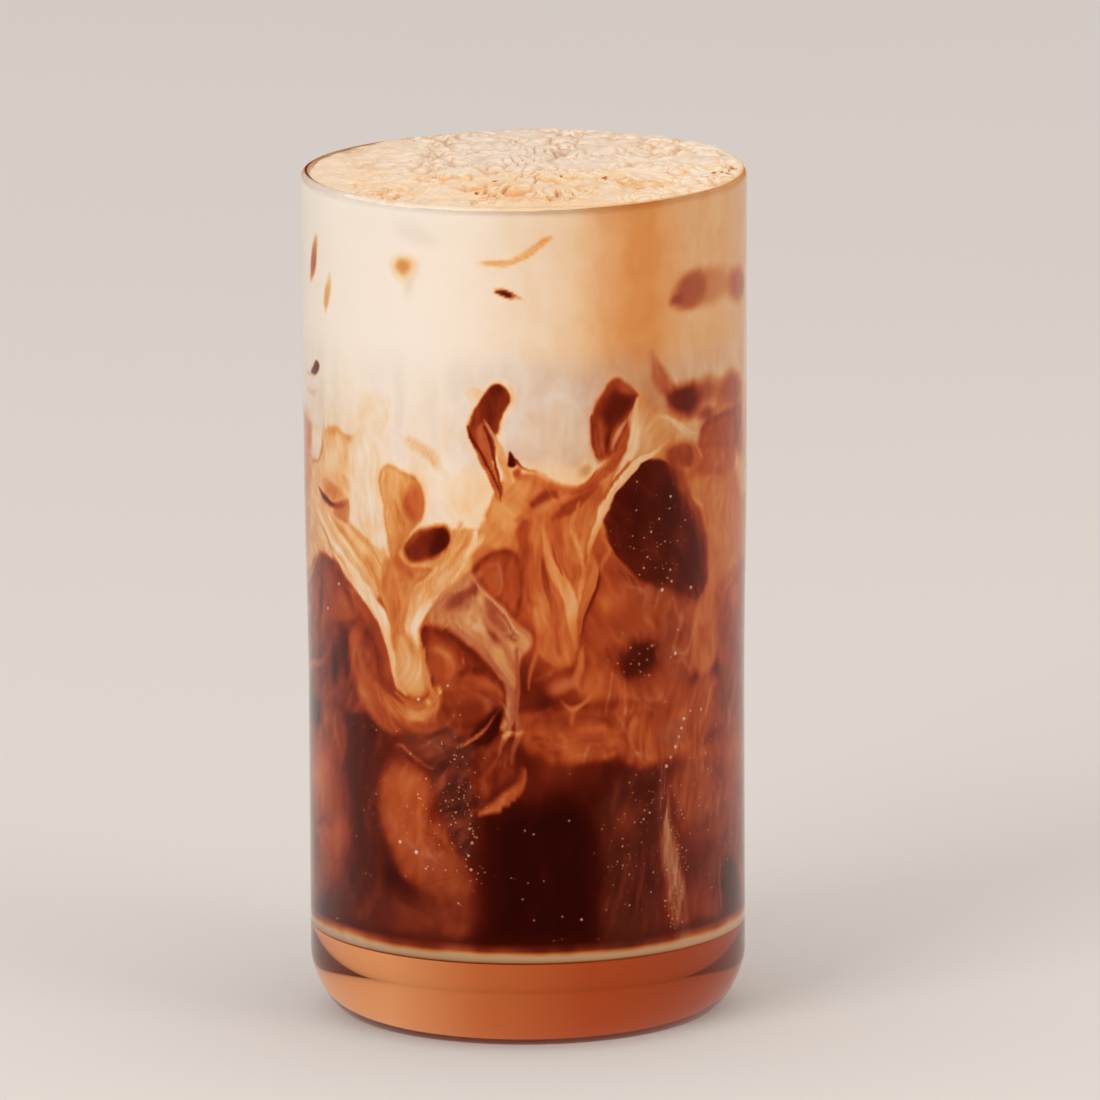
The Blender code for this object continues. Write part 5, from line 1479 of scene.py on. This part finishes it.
# Bubbles that can be told apart, as (across, up, radius) in millimetres on the wall.
BUBBLES = (
    (19.0, 96.3, 0.2), (25.7, 93.0, 0.25), (25.5, 91.0, 0.2), (23.3, 89.5, 0.2), (21.7, 87.5, 0.2),
    (29.0, 88.5, 0.2), (24.5, 85.5, 0.2), (21.0, 83.3, 0.2), (20.3, 81.5, 0.2), (25.7, 80.5, 0.25),
    (26.0, 78.5, 0.25), (24.0, 77.3, 0.36), (30.5, 76.8, 0.34), (15.5, 65.7, 0.2), (19.5, 65.2, 0.2),
    (22.0, 68.0, 0.25), (27.0, 66.0, 0.36), (27.5, 70.0, 0.25), (-36.5, 76.7, 0.3), (-40.5, 71.8, 0.3),
    (29.0, 54.5, 0.35), (28.4, 53.0, 0.3), (27.8, 51.6, 0.3), (27.0, 50.0, 0.35), (25.9, 48.4, 0.3),
    (25.0, 47.0, 0.35), (30.6, 55.6, 0.3), (33.4, 55.4, 0.35), (-9.6, 38.0, 0.25), (-9.2, 35.6, 0.3),
    (-9.8, 33.4, 0.25), (-9.4, 31.0, 0.3), (-18.6, 59.4, 0.35), (-13.2, 62.2, 0.3), (-22.4, 34.6, 0.35),
    (-19.2, 33.2, 0.4), (-17.4, 30.6, 0.25), (-21.0, 41.0, 0.2), (-18.8, 43.2, 0.2), (9.0, 22.4, 0.22),
)

# Where fine bubbles cling, as (across, up, half width, half height, how many).
BUBBLE_SWARMS = (
    (23.0, 87.0, 8.0, 9.0, 60), (21.0, 66.0, 8.0, 6.0, 40), (19.0, 36.0, 7.0, 14.0, 110),
    (27.0, 27.0, 2.2, 9.0, 130), (34.0, 42.0, 7.0, 12.0, 70), (-12.5, 45.0, 6.0, 9.0, 80),
    (-9.6, 34.0, 2.2, 10.0, 40), (-18.0, 36.0, 8.0, 11.0, 60), (-17.0, 58.0, 6.0, 5.0, 20),
    (-30.0, 40.0, 10.0, 20.0, 40), (4.0, 30.0, 10.0, 12.0, 24), (40.0, 30.0, 9.0, 9.0, 30),
)

# The radius of the finest bubbles and how much larger the others are, how closely a swarm keeps to its
# middle, how flat bubbles are, how far they stand out of the drink, and the height of the lowest.
FINEST_BUBBLE = 0.08
FINE_RANGE = 0.12
SWARM_SPREAD = 0.55
BUBBLE_FLATNESS = 0.5
BUBBLE_LIFT = 0.03
LOWEST_BUBBLE = 18.6


def make_bubbles():
    """Fine bubbles that cling to the inside of the wall, as small flattened balls."""
    draw = np.random.default_rng(5)
    spots = [np.array(BUBBLES)]
    for across, up, half_width, half_height, count in BUBBLE_SWARMS:
        spread = (SWARM_SPREAD * half_width, SWARM_SPREAD * half_height)
        places = draw.normal(size=(count, 2)) * spread + (across, up)
        sizes = FINEST_BUBBLE + FINE_RANGE * draw.random(count) ** 2
        spots.append(np.column_stack([places, sizes]))
    spots = np.concatenate(spots)
    spots = spots[spots[:, 1] > LOWEST_BUBBLE]
    mould = bmesh.new()
    bmesh.ops.create_icosphere(mould, subdivisions=1, radius=1.0)
    ball = np.array([v.co[:] for v in mould.verts])
    ball_faces = np.array([[v.index for v in face.verts] for face in mould.faces])
    mould.free()
    places, faces, shares = [], [], []
    for i, (across, up, size) in enumerate(spots.tolist()):
        bearing = (across + size * ball[:, 0]) / FLAT_RADIUS
        level = (up + size * ball[:, 2]) * MM
        radius = drink_radius(level) + (BUBBLE_FLATNESS * size * ball[:, 1] + BUBBLE_LIFT) * MM
        places.append(ring(radius, level, bearing))
        faces.append(ball_faces + i * len(ball))
        # The larger ones catch more light.
        bright = 0.30 + 1.1 * min(size, 0.36)
        shares.append(np.tile((bright + 0.22 * draw.random(), 0.45, 0.0), (len(ball), 1)))
    place_small_pieces("bubbles", np.concatenate(places), np.concatenate(faces), np.concatenate(shares))


def place_small_pieces(name, places, faces, shares):
    """One piece made of many closed bodies in the drink. Without shares it is coloured like the drink."""
    mesh = bpy.data.meshes.new(name)
    mesh.from_pydata(places.tolist(), [], faces.tolist())
    mesh.shade_smooth()
    piece = bpy.data.objects.new(name, mesh)
    bpy.context.scene.collection.objects.link(piece)
    paint(piece, drink_paint(*wall_place(places)) if shares is None else shares)
    piece.data.materials.append(bpy.data.materials["coffee_and_milk"])
    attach(piece, "root")


# The camera, worked out from the glass's outline in the photo.

CAMERA_ELEVATION = 11.30
CAMERA_DISTANCE = 2.835
CAMERA_TARGET_HEIGHT = 0.075
CAMERA_ROLL = -0.31
CAMERA_LENS = 550.1
SENSOR_WIDTH = 36.0
SHIFT_RIGHT = 0.00408
SHIFT_UP = 0.00350


def make_camera():
    """A long lens that looks a little down on the glass."""
    data = bpy.data.cameras.new("camera")
    data.lens = CAMERA_LENS
    data.sensor_width = SENSOR_WIDTH
    data.clip_end = 100.0
    camera = bpy.data.objects.new("camera", data)
    bpy.context.scene.collection.objects.link(camera)
    tilt = math.radians(CAMERA_ELEVATION)
    turn = Euler((math.radians(90.0) - tilt, 0.0, 0.0)).to_matrix()
    back = turn @ Vector((0.0, 0.0, 1.0))
    place = Vector((0.0, 0.0, CAMERA_TARGET_HEIGHT)) + CAMERA_DISTANCE * back
    place += SHIFT_RIGHT * (turn @ Vector((1.0, 0.0, 0.0)))
    place += SHIFT_UP * (turn @ Vector((0.0, 1.0, 0.0)))
    roll = Matrix.Rotation(math.radians(CAMERA_ROLL), 3, "Z")
    camera.matrix_world = Matrix.Translation(place) @ (turn @ roll).to_4x4()
    bpy.context.scene.camera = camera


PALE_ROOM = "F6F3F0"
WARM_ROOM = ((0.20, "A84422"), (0.40, "B64A22"), (0.58, "D06A38"), (0.75, "F09A60"))
ROOM_STRENGTH = 0.80
FLOOR_SIZE = 24.0
FLOOR_PATCHES = 60.0


def softbox(name, place, size, power, colour):
    """A soft light that faces the middle of the glass. It shows only as a gleam on it."""
    data = bpy.data.lights.new(name, "AREA")
    data.shape = "RECTANGLE"
    data.size, data.size_y = size
    data.energy = power
    data.color = linear(colour)[:3]
    lamp = bpy.data.objects.new(name, data)
    lamp.location = place
    aim = Vector((0.0, 0.0, 0.08)) - Vector(place)
    lamp.rotation_euler = aim.to_track_quat("-Z", "Y").to_euler()
    lamp.visible_camera = False
    lamp.visible_transmission = False
    bpy.context.scene.collection.objects.link(lamp)


def make_room():
    """Even pale light all round. What clear glass lets through or mirrors is a warm brown room.

    It gives the thick foot its amber look, and the floor and the drink stay in the pale light.
    """
    world = bpy.data.worlds.new("studio")
    world.use_nodes = True
    tree = world.node_tree
    path = node(tree, "ShaderNodeLightPath")
    direct = node(tree, "ShaderNodeMath", {0: path.outputs["Diffuse Depth"], 1: 0.5}, operation="LESS_THAN")
    glass_ray = node(tree, "ShaderNodeMath", {0: path.outputs["Is Transmission Ray"],
                                              1: path.outputs["Is Glossy Ray"]}, operation="MAXIMUM")
    through = node(tree, "ShaderNodeMath", {0: glass_ray.outputs[0], 1: direct.outputs[0]},
                   operation="MULTIPLY")
    place = node(tree, "ShaderNodeTexCoord")
    parts = node(tree, "ShaderNodeSeparateXYZ", {0: place.outputs["Generated"]})
    side = node(tree, "ShaderNodeMath", {0: parts.outputs["X"], 1: 0.5, 2: 0.5}, operation="MULTIPLY_ADD")
    warm = node(tree, "ShaderNodeValToRGB", {"Fac": side.outputs[0]}, WARM_ROOM)
    colour = node(tree, "ShaderNodeMixRGB", {"Fac": through.outputs[0], "Color1": linear(PALE_ROOM),
                                             "Color2": warm.outputs["Color"]})
    background = tree.nodes["Background"]
    tree.links.new(colour.outputs["Color"], background.inputs["Color"])
    background.inputs["Strength"].default_value = ROOM_STRENGTH
    bpy.context.scene.world = world


def make_studio():
    """A pale floor and plain soft light, brighter from the front left."""
    bpy.ops.mesh.primitive_plane_add(size=FLOOR_SIZE)
    floor = bpy.context.active_object
    floor.name = "floor"
    material, tree, output = new_material("pale_matt_floor")
    grain = node(tree, "ShaderNodeTexNoise", {"Scale": FLOOR_PATCHES, "Detail": 3.0})
    shade = node(tree, "ShaderNodeValToRGB", {"Fac": grain.outputs["Fac"]},
                 ((0.0, "E6E2DC"), (1.0, "EBE8E3")))
    shader = node(tree, "ShaderNodeBsdfPrincipled", {
        "Base Color": shade.outputs["Color"],
        "Roughness": 0.9,
    })
    tree.links.new(shader.outputs[0], output.inputs["Surface"])
    floor.data.materials.append(material)
    softbox("key_softbox", (-0.9, -1.1, 1.0), (0.8, 0.8), 9.0, "FFFBF8")
    softbox("fill_softbox", (1.2, -0.9, 0.7), (0.7, 0.9), 5.0, "FFF0E4")
    make_room()
    bpy.context.scene.view_settings.view_transform = "Standard"


make_camera()
make_studio()
make_tumbler()
make_drink()
make_ice()
make_bubbles()
